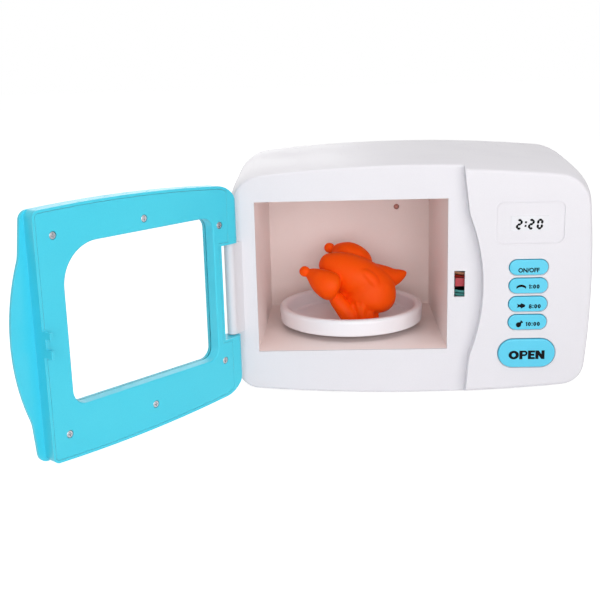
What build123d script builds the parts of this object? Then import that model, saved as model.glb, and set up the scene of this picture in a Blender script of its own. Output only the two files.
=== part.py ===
from build123d import *
import math
import os

# Toy microwave oven: a white two-piece housing with an oven box, a driven turntable,
# a play roast, five push buttons and a side-hinged door with a clear window.
# All sizes are in millimetres. Places on the body are measured from its left edge,
# from the front of the control panel and up from the table. The row frame has +X to
# the right and +Y to the back, seen from the front, and its origin on the table.

# Housing outline, station by station from the control panel to the back
body_width = 284.0
body_depth = 176.0
front_width = 275.5
recess_width = 280.6
tail_width = 277.0
back_width = 258.0
body_top = 194.7
front_top = 183.5
recess_top = 186.0
seam_top = 192.0
tail_top = 190.0
back_top = 180.0
body_base = 2.5
front_base = 8.3
recess_base = 4.5
tail_base = 4.5
back_base = 12.0
seam_depth = 60.0
crown_depth = 110.0
tail_depth = 150.0
top_crown = 8.0
side_crown = 5.0
base_crown = 6.5
top_corner = 26.0
base_corner = 18.0
housing_wall = 2.5
panel_edge_radius = 2.5
back_edge_radius = 4.0
recess_edge_radius = 2.0

# Door opening in the housing and the hinge
recess_depth = 10.0
recess_gap = 0.4
hinge_x = 1.0
hinge_depth = 2.0
hinge_height = 94.2
open_angle = 130.2
knuckle_half_height = 36.0
knuckle_radius = 4.2
knuckle_reach = 9.0
hinge_pin_radius = 1.5
hinge_pin_length = 26.0
hinge_pin_grip = 13.0
pin_running_gap = 0.05

# Door, measured out from the hinge axis and up and down from its middle
door_reach = 176.4
door_hinge_half_height = 80.3
door_middle_half_height = 86.4
door_latch_half_height = 84.4
door_arc_middle = 86.0
door_arc_end = 195.0
door_rim_corner = 5.0
door_thickness = 12.6
door_hinge_overhang = 4.0
door_hinge_corner = 22.0
door_inner_round = 5.6
door_outer_round = 5.0
door_edge_radius = 1.2
door_wall = 2.5
door_rim = 2.0
lip_thickness = 3.0
lip_lower_reach = 181.0
lip_lower_bend = 183.5
lip_bend_drop = 57.0
lip_peak_reach = 193.5
lip_upper_bend = 182.5
lip_bend_rise = 55.0
lip_upper_reach = 178.6
lip_end_height = 87.0
lip_bend_radius = 25.0
lip_corner = 7.0
step_gap = 1.4
plate_thickness = 3.0
plate_gap = 0.25
lobe_reach = 8.0
notch_reach = 15.2
notch_gap = 0.8
window_inner_reach = 22.8
window_outer_reach = 156.2
window_top = 60.0
window_bottom = -50.0
window_corner = 9.0
window_big_corner = 28.0
window_low_corner = 11.0
collar_wall = 2.0
pane_thickness = 1.6
pane_overlap = 2.5
pane_gap = 0.1
window_edge_radius = 1.0
door_screw_places = [
    (16.2, 52.9), (86.9, 68.3), (162.0, 68.0),
    (16.2, -52.9), (86.9, -68.3), (162.0, -68.0),
]
screw_head_radius = 2.6
screw_head_height = 1.5
screw_core_radius = 1.1
screw_sink_gap = 0.2
screw_hole_gap = 0.3
door_screw_length = 8.0
door_post_radius = 3.4

# Catch tongue on the door and its slot in the housing
tongue_rise = 7.5
tongue_drop = 10.5
tongue_length = 8.5
tongue_fork_rise = 2.5
tongue_fork_drop = 4.7
tongue_fork_start = 3.0
slot_side_gap = 0.8
slot_width = 8.2
slot_gap = 1.4

# Oven box
cavity_left = 20.5
cavity_width = 149.0
cavity_floor = 40.0
cavity_height = 120.0
cavity_back = 157.0
cavity_draft = 1.5
liner_wall = 2.0
liner_flange = 2.0
liner_flange_thickness = 2.0
lamp_x = 138.5
lamp_drop = 29.0
lamp_radius = 2.4
lamp_gap = 0.15
lamp_flange_radius = 3.2
lamp_flange_thickness = 1.2
lamp_body_length = 9.0
lamp_reach = 0.8

# Turntable and its drive
table_x = 95.0
table_depth = 92.5
table_radius = 61.8
table_lift = 3.6
table_rim_height = 14.8
table_wall = 2.2
table_rim_width = 7.0
table_rim_wall = 2.0
table_rim_round = 2.8
table_taper = 0.8
table_skirt_lift = 1.0
table_hub_radius = 9.0
hub_lift = 0.6
hub_floor = 1.2
drive_key_width = 4.4
key_gap = 0.15
shaft_radius = 3.0
shaft_hole_gap = 0.06
liner_hole_gap = 0.8
gear_module = 0.8
small_teeth = 10
large_teeth = 40
mesh_gap = 0.2
tooth_share = 0.40
gear_thickness = 3.4
gear_level_gap = 1.0
axial_gap = 0.1
compound_axle_radius = 1.5
axle_gap = 0.05
gearbox_base_thickness = 2.4
gearbox_lid_thickness = 2.0
gearbox_wall = 2.0
gearbox_margin = 3.0
gearbox_top_gap = 1.8
motor_radius = 10.0
motor_height = 13.0
motor_flat = 7.5
motor_shaft_radius = 1.0
drive_post_radius = 3.5
drive_post_gap = 0.4
drive_ear_radius = 5.0
lid_post_radius = 2.6
lid_post_sink = 0.8
motor_nose_radius = 3.0
motor_nose_height = 1.8
motor_screw_reach = 5.6
motor_screw_head_radius = 1.5
motor_screw_head_height = 0.9
motor_screw_core = 0.7
motor_screw_length = 4.6
terminal_reach = 1.5
terminal_spread = 3.0

# Play roast on the turntable
roast_lift = 0.3
roast_sides = 8
roast_breast = [
    (69.0, 93.0, 93.0, 5.0), (80.0, 90.5, 88.5, 13.5), (100.0, 86.5, 79.0, 20.5),
    (118.0, 86.0, 73.0, 17.5), (131.0, 86.5, 68.5, 11.0), (135.5, 87.0, 67.0, 4.0),
]
roast_far_thigh = [
    (79.0, 117.5, 101.0, 3.6), (84.5, 113.5, 99.8, 8.0), (91.0, 109.0, 98.0, 12.0),
    (99.0, 105.0, 95.0, 12.6), (107.0, 102.0, 89.5, 10.0), (112.0, 100.0, 85.0, 5.0),
]
roast_far_knuckle = [
    (72.6, 119.6, 102.2, 1.6), (74.4, 119.2, 102.0, 4.2), (79.0, 118.4, 101.4, 4.8),
    (82.2, 118.0, 101.0, 3.0),
]
roast_near_thigh = [
    (57.0, 79.0, 90.5, 3.2), (63.0, 76.5, 88.0, 4.8), (70.0, 72.0, 84.0, 9.0),
    (77.5, 68.0, 78.5, 12.2), (85.0, 67.5, 72.5, 11.4), (91.0, 69.0, 67.0, 6.0),
]
roast_near_knuckle = [
    (51.8, 79.6, 90.8, 1.6), (53.6, 79.4, 90.4, 4.2), (58.2, 78.8, 89.6, 4.8),
    (61.4, 78.2, 89.0, 3.0),
]
roast_wing = [
    (108.0, 92.0, 77.0, 14.0), (124.0, 92.0, 79.5, 12.0), (136.0, 92.0, 82.2, 6.0),
    (143.4, 92.0, 84.4, 1.4),
]
roast_seat = [
    (101.0, 81.0, 78.0, 18.0), (102.5, 80.5, 64.0, 21.0), (103.5, 80.0, 55.0, 18.5),
    (102.5, 80.0, 47.5, 13.5), (102.5, 80.0, 43.0, 11.5),
]
roast_forms = [
    roast_breast, roast_far_thigh, roast_far_knuckle, roast_near_thigh, roast_near_knuckle,
    roast_wing, roast_seat,
]
# How far the roast lifts off when it is taken out
lift_travel = 18.0

# Control panel
panel_x = 230.0
display_height = 33.0
display_width = 52.0
display_center = 142.0
display_depth = 0.9
display_corner = 6.0
display_groove = 1.5
label_width = 28.6
label_height = 11.6
label_center = 141.2
label_thickness = 0.3
button_width = 29.4
button_height = 11.8
button_pitch = 14.45
top_button_center = 107.3
button_count = 4
button_pocket_depth = 1.2
button_pocket_margin = 0.7
button_gap = 0.35
button_face = 0.9
button_flange = 1.0
button_flange_thickness = 1.2
button_flange_gap = 0.1
button_edge = 0.8
button_stem_radius = 2.0
button_stem_length = 3.2
button_travel = 1.2
switch_body = 6.0
switch_body_height = 3.2
switch_plunger_radius = 1.6
switch_plunger_height = 2.7
switch_plunger_reach = 1.4
switch_plunger_gap = 0.08
switch_floor = 0.4
open_center = 38.9
open_width = 44.0
open_height = 22.8
open_travel = 3.0
open_face = 1.4
open_guide_radius = 2.2
open_guide_gap = 0.05
open_guide_depth = 16.0
open_guide_thickness = 2.0
open_guide_width = 9.0
open_stem_length = 17.2
guide_post_places = [(230.0, 54.17), (230.0, 20.5)]
guide_post_radius = 2.0
wedge_tip_depth = 16.0
wedge_width = 3.6
wedge_low = 39.0
wedge_height = 6.0
wedge_shift = 1.4
open_spring_radius = 3.6
open_spring_wire = 0.3
open_spring_turns = 5

# Circuit board
board_left = 206.0
board_width = 51.0
board_low = 57.0
board_high = 160.0
board_thickness = 1.6
board_post_radius = 2.8
board_post_inset = 4.0
inner_screw_length = 6.0
chip_radius = 6.0
chip_height = 1.8
chip_place = (221.0, 112.0)

# Latch lever
lever_thickness = 2.8
lever_depth = 14.4
lever_pivot_x = 192.0
lever_pivot_height = 60.0
lever_hub_radius = 5.0
lever_post_radius = 2.5
lever_arm_width = 7.0
lever_nose_height = 6.4
lever_nose_center = 93.1
lever_nose_tip = 176.0
lever_foot_x = 206.5
lever_foot_height = 43.0
lever_foot_radius = 2.6
lever_angle = 4.8
lever_wedge_gap = 0.35
lever_washer_radius = 4.2
lever_washer_thickness = 1.0
lever_end_gap = 0.3
lever_hole_gap = 0.06
lever_foot_width = 5.6
lever_arm_lean = 4.0
latch_spring_gap = 0.25
spring_rib_x = 201.0
spring_rib_thickness = 2.0
spring_rib_low = 68.0
spring_rib_height = 10.0
spring_rib_depth = 17.4
latch_spring_height = 73.0
latch_spring_radius = 1.5
latch_spring_wire = 0.2
latch_spring_turns = 4

# Speaker on the back wall
speaker_x = 222.0
speaker_height = 118.0
speaker_radius = 20.0
speaker_rim = 1.2
speaker_cup_depth = 6.0
speaker_cup_radius = 15.0
magnet_radius = 9.0
magnet_thickness = 5.0
cone_gap = 0.2
cone_thickness = 0.5
cone_depth = 3.6
speaker_ring_wall = 1.8
speaker_ring_height = 4.0
speaker_ring_gap = 0.3
grille_rings = 3
grille_spacing = 4.6
grille_hole_radius = 1.1

# Battery case in the back wall
case_left = 188.0
case_low = 28.0
cell_length = 50.0
cell_radius = 7.1
cell_cap_radius = 2.6
cell_cap_height = 1.2
cell_count = 3
cell_pitch = 15.6
case_wall = 1.8
case_end_room = 5.0
case_side_gap = 0.8
case_depth_room = 16.0
cover_thickness = 2.2
cover_gap = 0.4
cover_ledge = 3.5
cover_screw_radius = 1.2
cover_screw_length = 9.0
cover_ear_radius = 4.6
cover_boss_length = 9.0
cover_seat_gap = 0.1
cover_screw_sink = 0.8
cover_head_radius = 2.6
cover_head_height = 1.2
ledge_thickness = 3.0
tab_width = 3.0
tab_room = 0.8
tab_gap = 0.3
tab_reach = 3.0
contact_thickness = 0.4
contact_width = 9.0
spring_coils = 4
spring_wire = 0.45
spring_radius = 2.8

# Housing fasteners, feet and inner posts
housing_screw_places = [(26.0, 26.0), (60.0, 169.5), (252.0, 23.0), (232.0, 168.0)]
housing_post_radius = 4.2
housing_screw_length = 16.0
housing_screw_core = 1.3
housing_head_radius = 2.8
housing_head_height = 2.0
housing_head_gap = 0.3
housing_tube_wall = 1.6
housing_seat_thickness = 3.0
foot_places = [(50.0, 46.0), (230.0, 46.0), (50.0, 140.0), (230.0, 140.0)]
foot_radius = 7.0
foot_height = 2.0
foot_stub_height = 5.0
foot_plug_radius = 1.8
foot_edge_radius = 0.8
foot_sink = 1.2
liner_post_radius = 4.0
liner_post_places = [(42.0, 60.0), (42.0, 140.0), (148.0, 60.0), (148.0, 140.0)]

# Leads
lead_radius = 1.1
lead_row_depth = 21.0
lead_turn_x = 175.8
lamp_lead_heights = [98.7, 95.7]
lamp_lead_depths = [163.0, 165.6]
motor_lead_heights = [81.1, 83.8]

# Values worked out from the sizes above
body_middle = hinge_x + 139.0
cavity_right = cavity_left + cavity_width
cavity_top = cavity_floor + cavity_height
door_offset = recess_depth - recess_gap - hinge_depth
open_turn = math.radians(open_angle)
door_along = (math.cos(open_turn), -math.sin(open_turn))
door_inward = (math.sin(open_turn), math.cos(open_turn))
lip_tip_x = hinge_x + lip_peak_reach * door_along[0] + (door_offset - door_thickness) * door_inward[0]
lip_back = door_offset - door_thickness + lip_thickness
lip_tip_depth = hinge_depth + lip_peak_reach * door_along[1] + lip_back * door_inward[1]
frame_x = (lip_tip_x + body_middle + body_width / 2) / 2
frame_depth = (lip_tip_depth + body_depth) / 2


def face_plane(depth):
    """Upright plane across the body, local x to the right and y up, facing the front."""
    return Plane(origin=(-frame_x, depth - frame_depth, 0), x_dir=(1, 0, 0), z_dir=(0, -1, 0))


def level_plane(height):
    """Level plane, local x to the right and y to the back, facing up."""
    return Plane(origin=(-frame_x, -frame_depth, height), x_dir=(1, 0, 0), z_dir=(0, 0, 1))


def side_plane(place):
    """Upright plane along the depth, local x to the back and y up, facing the right."""
    return Plane(origin=(place - frame_x, -frame_depth, 0), x_dir=(0, 1, 0), z_dir=(1, 0, 0))


def door_plane(layer):
    """Plane of the open door, local x out from the hinge, y up, facing its outside."""
    across = door_offset - layer
    return Plane(
        origin=(
            hinge_x + across * door_inward[0] - frame_x,
            hinge_depth + across * door_inward[1] - frame_depth,
            hinge_height,
        ),
        x_dir=(door_along[0], door_along[1], 0),
        z_dir=(-door_inward[0], -door_inward[1], 0),
    )


def door_level_plane(height):
    """Level plane of the open door, local x out from the hinge, y towards its inside."""
    return Plane(
        origin=(hinge_x - frame_x, hinge_depth - frame_depth, height),
        x_dir=(door_along[0], door_along[1], 0),
        z_dir=(0, 0, 1),
    )


def save(part, name):
    """Label a finished piece and write it as its own file."""
    part.label = name
    export_step(part, "parts/" + name + ".step")


def outline_at(depth, width, top, base, inset):
    """Housing cross-section: four bulged sides with rounded corners."""
    half = width / 2 - inset
    high = top - inset
    low = base + inset
    left = body_middle - half + side_crown
    right = body_middle + half - side_crown
    with BuildSketch(face_plane(depth)) as outline:
        with BuildLine():
            ThreePointArc((left, high - top_crown), (body_middle, high), (right, high - top_crown))
            ThreePointArc(
                (right, high - top_crown), (body_middle + half, (high + low) / 2), (right, low + base_crown)
            )
            ThreePointArc((right, low + base_crown), (body_middle, low), (left, low + base_crown))
            ThreePointArc(
                (left, low + base_crown), (body_middle - half, (high + low) / 2), (left, high - top_crown)
            )
        make_face()
        fillet(outline.vertices().group_by(Axis.Y)[-1], top_corner - inset)
        fillet(outline.vertices().group_by(Axis.Y)[0], base_corner - inset)
    return outline.sketch


def body_stations(inset):
    """Cross-sections from front to back, moved in by the inset on every side."""
    return [
        outline_at(inset, front_width, front_top, front_base, inset),
        outline_at(recess_depth, recess_width, recess_top, recess_base, inset),
        outline_at(seam_depth, body_width, seam_top, body_base, inset),
        outline_at(crown_depth, body_width, body_top, body_base, inset),
        outline_at(tail_depth, tail_width, tail_top, tail_base, inset),
        outline_at(body_depth - inset, back_width, back_top, back_base, inset),
    ]


def lip_points(grow):
    """Corner points of the lip's free edge, in door reach and height."""
    return [
        (lip_lower_reach + grow, -lip_end_height),
        (lip_lower_bend + grow, -lip_bend_drop),
        (lip_peak_reach + grow, (lip_bend_rise - lip_bend_drop) / 2),
        (lip_upper_bend + grow, lip_bend_rise),
        (lip_upper_reach + grow, lip_end_height),
    ]


def recess_region(depth, shift):
    """Area left of the curved step, from beyond the left edge of the body."""
    low, low_bend, peak, high_bend, high = [
        (x + hinge_x, y + hinge_height) for x, y in lip_points(step_gap + shift)
    ]
    far = 30.0
    ceiling = body_top + far
    with BuildSketch(face_plane(depth)) as region:
        with BuildLine():
            Polyline(low_bend, (low[0], low[1]), (low[0], -far), (-far, -far))
            Polyline((-far, -far), (-far, ceiling), (high[0], ceiling), high, high_bend)
            ThreePointArc(high_bend, peak, low_bend)
        make_face()
        fillet(region.vertices().sort_by_distance(Vector(*high_bend))[0:1], lip_bend_radius)
        fillet(region.vertices().sort_by_distance(Vector(*low_bend))[0:1], lip_bend_radius)
    return region.sketch


def door_shape(layer, inset, kind):
    """Door outline on one layer: the lip plate, the rim block or the pocket in it."""
    start = -door_hinge_overhang + inset
    high_start = (start, door_hinge_half_height - inset)
    high_end = (door_arc_end, door_latch_half_height - inset)
    high_middle = (door_arc_middle, door_middle_half_height - inset)
    low_middle = (door_arc_middle, -door_middle_half_height + inset)
    far = 60.0
    with BuildSketch(door_plane(layer)) as shape:
        with BuildLine():
            ThreePointArc(high_start, high_middle, high_end)
            Line(high_end, (door_arc_end, -high_end[1]))
            ThreePointArc((door_arc_end, -high_end[1]), low_middle, (start, -high_start[1]))
            Line((start, -high_start[1]), high_start)
        make_face()
        fillet(shape.vertices().group_by(Axis.X)[0], door_hinge_corner - inset)
        if kind == "lip":
            low, low_bend, peak, high_bend, high = lip_points(0)
            with BuildLine():
                Polyline(low_bend, low, (low[0], -lip_end_height - far), (far * 5, -lip_end_height - far))
                Polyline(
                    (far * 5, -lip_end_height - far),
                    (far * 5, lip_end_height + far),
                    (high[0], lip_end_height + far),
                    high,
                    high_bend,
                )
                ThreePointArc(high_bend, peak, low_bend)
            make_face(mode=Mode.SUBTRACT)
            fillet(shape.vertices().sort_by_distance(Vector(*high_bend))[0:1], lip_bend_radius)
            fillet(shape.vertices().sort_by_distance(Vector(*low_bend))[0:1], lip_bend_radius)
            corners = [
                Vector(lip_upper_reach, door_latch_half_height),
                Vector(lip_lower_reach, -door_latch_half_height),
            ]
            for corner in corners:
                fillet(shape.vertices().sort_by_distance(corner)[0:1], lip_corner)
        else:
            with Locations((door_reach - inset + far, 0)):
                Rectangle(2 * far, 6 * far, mode=Mode.SUBTRACT)
            for way in (1, -1):
                corner = Vector(door_reach - inset, way * (door_latch_half_height + 1.0 - inset))
                fillet(shape.vertices().sort_by_distance(corner)[0:1], door_rim_corner - inset)
        if kind == "pocket":
            gap = inset - door_rim
            with Locations((lobe_reach + gap - far, 0)):
                Rectangle(2 * far, 6 * far, mode=Mode.SUBTRACT)
            with Locations((notch_reach + door_rim + gap - far, 0)):
                Rectangle(2 * far, 2 * (notch_half + door_rim + gap), mode=Mode.SUBTRACT)
    return shape.sketch


def window_shape(layer, grow):
    """Window outline of the door with its four different corners."""
    left = window_inner_reach - grow
    right = window_outer_reach + grow
    with BuildSketch(door_plane(layer)) as shape:
        with BuildLine():
            Polyline(
                (left, window_bottom - grow),
                (right, window_bottom - grow),
                (right, window_top + grow),
                (left, window_top + grow),
                close=True,
            )
        make_face()
        corners = [
            (left, window_bottom - grow, window_corner),
            (right, window_bottom - grow, window_low_corner),
            (right, window_top + grow, window_big_corner),
            (left, window_top + grow, window_corner),
        ]
        for reach, height, radius in corners:
            fillet(shape.vertices().sort_by_distance(Vector(reach, height))[0:1], radius + grow)
    return shape.sketch


def button_center(index):
    """Height of the middle of one of the small buttons, counted from the top."""
    return top_button_center - index * button_pitch


def pill(plane, center, width, height):
    """Rounded bar shape of a button."""
    with BuildSketch(plane) as shape:
        with Locations(center):
            SlotOverall(width, height)
    return shape.sketch


def round_at(plane, places, radius):
    """Circles of one radius at several places on a plane."""
    with BuildSketch(plane) as shape:
        with Locations(*places):
            Circle(radius)
    return shape.sketch


def box_at(plane, left, right, low, high):
    """Rectangle on a plane given by its four edges."""
    with BuildSketch(plane) as shape:
        with Locations(((left + right) / 2, (low + high) / 2)):
            Rectangle(right - left, high - low)
    return shape.sketch


# Places that several pieces share
recess_back = recess_depth + housing_wall
notch_half = knuckle_half_height + notch_gap
tongue_right = hinge_x + door_reach
tongue_left = tongue_right - door_rim
slot_left = tongue_left - slot_side_gap
slot_low = hinge_height - tongue_drop - slot_gap
slot_high = hinge_height + tongue_rise + slot_gap
flange_front = housing_wall + button_flange_gap
flange_back = flange_front + button_flange_thickness
stem_end = flange_back + button_stem_length
board_face = stem_end + switch_plunger_reach + switch_body_height
board_back = board_face + board_thickness
board_corners = [
    (board_left + board_post_inset, board_low + board_post_inset),
    (board_left + board_width - board_post_inset, board_low + board_post_inset),
    (board_left + board_post_inset, board_high - board_post_inset),
    (board_left + board_width - board_post_inset, board_high - board_post_inset),
]
lever_post_end = lever_depth + lever_thickness + lever_end_gap
lever_back = lever_depth + lever_thickness
small_radius = gear_module * small_teeth / 2
large_radius = gear_module * large_teeth / 2
tooth_tip = gear_module * 0.75
gear_distance = small_radius + large_radius + mesh_gap
compound_x = table_x - gear_distance
pinion_x = compound_x - gear_distance
gearbox_top = cavity_floor - liner_wall - gearbox_top_gap
lid_floor = gearbox_top - gearbox_lid_thickness
upper_level = lid_floor - gear_level_gap - gear_thickness
lower_level = upper_level - gear_level_gap - gear_thickness
gearbox_floor = lower_level - gear_level_gap
gearbox_base_low = gearbox_floor - gearbox_base_thickness
gearbox_left = pinion_x - small_radius - tooth_tip - gearbox_margin - gearbox_wall
gearbox_right = table_x + large_radius + tooth_tip + gearbox_margin + gearbox_wall
gearbox_half = large_radius + tooth_tip + gearbox_margin + gearbox_wall
drive_post_places = [
    (gearbox_left - drive_post_radius - drive_post_gap, table_depth),
    (gearbox_right + drive_post_radius + drive_post_gap, table_depth),
]
lid_post_inset = gearbox_wall + lid_post_radius - lid_post_sink
lid_post_places = [
    (gearbox_left + lid_post_inset, table_depth - gearbox_half + lid_post_inset),
    (gearbox_right - lid_post_inset, table_depth + gearbox_half - lid_post_inset),
]
motor_low = gearbox_base_low - motor_height
terminal_height = motor_low + 4.4
dish_low = cavity_floor + table_lift
dish_floor = dish_low + table_wall
dish_top = dish_low + table_rim_height
key_top = dish_floor - hub_floor
case_mouth = body_depth - housing_wall
case_bottom = case_mouth - case_depth_room
case_inner_left = case_left + case_wall
case_inner_right = case_inner_left + cell_length + case_end_room
case_right = case_inner_right + case_wall
case_inner_low = case_low + case_wall
case_inner_high = case_inner_low + cell_count * cell_pitch + 2 * case_side_gap
case_high = case_inner_high + case_wall
case_middle = (case_left + case_right) / 2
collar_depth = door_thickness - door_wall - pane_gap - pane_thickness - plate_thickness
cell_depth = case_bottom + cell_radius + case_side_gap / 2
cover_screw_place = (case_middle, case_inner_high + cover_ledge + cover_ear_radius - 1.0)
cell_heights = [
    case_inner_low + case_side_gap + cell_pitch * (index + 0.5) for index in range(cell_count)
]


def make_hollow():
    """Inner space of the housing, one wall thickness inside its skin."""
    with BuildPart() as hollow:
        loft(body_stations(housing_wall))
        extrude(recess_region(recess_back, housing_wall), body_depth, mode=Mode.SUBTRACT)
    return hollow.part


def make_skin():
    """Outer form of the housing with the door recess cut into its front."""
    with BuildPart() as skin:
        loft(body_stations(0))
        fillet(skin.faces().sort_by(Axis.Y)[0].edges(), panel_edge_radius)
        fillet(skin.faces().sort_by(Axis.Y)[-1].edges(), back_edge_radius)
        extrude(recess_region(recess_depth, 0), recess_depth + 5, mode=Mode.SUBTRACT)
        recess_face = skin.faces().filter_by(Plane.XZ).sort_by(Axis.Y)[1]
        rim_edges = [
            edge
            for edge in recess_face.edges()
            if edge.center().X + frame_x < cavity_left + cavity_width * 0.9
        ]
        fillet(rim_edges, recess_edge_radius)
        # Stubs that carry the rubber feet
        extrude(
            round_at(level_plane(foot_height), foot_places, foot_radius + 1.0), foot_stub_height
        )
    return skin.part


def make_front_housing(skin, hollow):
    """Front shell: control panel, door recess, hinge knuckle and inner posts."""
    with BuildPart() as front_housing:
        add(skin)
        split(bisect_by=face_plane(seam_depth), keep=Keep.TOP)
        add(hollow, mode=Mode.SUBTRACT)
        # Hinge knuckle: an upright barrel on a web that runs back to the recess face
        with BuildSketch(level_plane(hinge_height - knuckle_half_height)):
            with Locations((hinge_x, hinge_depth)):
                Circle(knuckle_radius)
            with BuildLine():
                Polyline(
                    (hinge_x - knuckle_radius, hinge_depth),
                    (hinge_x + knuckle_radius, hinge_depth),
                    (hinge_x + knuckle_reach, recess_depth),
                    (hinge_x + knuckle_reach, recess_back),
                    (hinge_x - knuckle_radius + 5.0, recess_back),
                    close=True,
                )
            make_face()
        extrude(amount=2 * knuckle_half_height)
        # Oven mouth and catch slot through the recess wall
        extrude(
            box_at(face_plane(recess_back + 1), cavity_left, cavity_right, cavity_floor, cavity_top),
            housing_wall + 2,
            mode=Mode.SUBTRACT,
        )
        extrude(
            box_at(face_plane(recess_back + 1), slot_left, slot_left + slot_width, slot_low, slot_high),
            housing_wall + 2,
            mode=Mode.SUBTRACT,
        )
        # Shallow frame around the display
        with BuildSketch(face_plane(display_depth)):
            with Locations((panel_x, display_center)):
                RectangleRounded(display_width, display_height, display_corner)
        extrude(amount=display_depth + 1, mode=Mode.SUBTRACT)
        with BuildSketch(face_plane(display_depth)):
            with Locations((panel_x, display_center)):
                RectangleRounded(
                    display_width - 2 * display_groove,
                    display_height - 2 * display_groove,
                    display_corner - display_groove,
                )
        extrude(amount=display_depth / 2)
        # Button pockets and the holes behind them
        button_sizes = [
            (button_center(index), button_width, button_height) for index in range(button_count)
        ] + [(open_center, open_width, open_height)]
        for height, wide, tall in button_sizes:
            pocket = pill(
                face_plane(button_pocket_depth),
                (panel_x, height),
                wide + 2 * button_pocket_margin,
                tall + 2 * button_pocket_margin,
            )
            extrude(pocket, button_pocket_depth + 1, mode=Mode.SUBTRACT)
            hole = pill(
                face_plane(housing_wall + 1),
                (panel_x, height),
                wide + 2 * button_gap,
                tall + 2 * button_gap,
            )
            extrude(hole, housing_wall + 2, mode=Mode.SUBTRACT)
        # Posts for the circuit board, the button guide and the latch lever
        extrude(
            round_at(face_plane(board_face), board_corners, board_post_radius),
            board_face - housing_wall + 0.5,
        )
        extrude(
            round_at(face_plane(open_guide_depth), guide_post_places, guide_post_radius),
            open_guide_depth - housing_wall + 0.5,
        )
        pivot = [(lever_pivot_x, lever_pivot_height)]
        extrude(
            round_at(face_plane(lever_post_end), pivot, lever_post_radius),
            lever_post_end - recess_depth - 0.5,
        )
        extrude(
            round_at(face_plane(lever_depth - lever_end_gap), pivot, lever_hub_radius - 1.0),
            lever_depth - lever_end_gap - recess_depth - 0.5,
        )
        # Rib that the latch spring leans on
        extrude(
            box_at(
                face_plane(spring_rib_depth),
                spring_rib_x,
                spring_rib_x + spring_rib_thickness,
                spring_rib_low,
                spring_rib_low + spring_rib_height,
            ),
            spring_rib_depth - housing_wall + 0.5,
        )
        # Screw posts that meet the back housing at the seam
        for place in housing_screw_places:
            start = housing_wall - 0.5 if place[0] > slot_left else recess_back - 0.5
            extrude(
                round_at(face_plane(seam_depth), [place], housing_post_radius), seam_depth - start
            )
        # Pilot holes
        extrude(
            round_at(face_plane(seam_depth), housing_screw_places, housing_screw_core),
            housing_screw_length,
            mode=Mode.SUBTRACT,
        )
        pilot = inner_screw_length - board_thickness
        extrude(
            round_at(face_plane(board_face), board_corners, screw_core_radius),
            pilot,
            mode=Mode.SUBTRACT,
        )
        extrude(
            round_at(face_plane(open_guide_depth), guide_post_places, screw_core_radius),
            pilot,
            mode=Mode.SUBTRACT,
        )
        extrude(
            round_at(face_plane(lever_post_end), pivot, screw_core_radius),
            inner_screw_length - lever_washer_thickness,
            mode=Mode.SUBTRACT,
        )
        # Blind holes for the two hinge pins
        for edge, way in ((knuckle_half_height, -1), (-knuckle_half_height, 1)):
            extrude(
                round_at(
                    level_plane(hinge_height + edge), [(hinge_x, hinge_depth)], hinge_pin_radius
                ),
                way * hinge_pin_grip,
                mode=Mode.SUBTRACT,
            )
        # Plug holes of the front feet
        extrude(
            round_at(level_plane(foot_height), foot_places[0:2], foot_plug_radius),
            foot_sink,
            mode=Mode.SUBTRACT,
        )
    save(front_housing.part, "front_housing")


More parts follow.
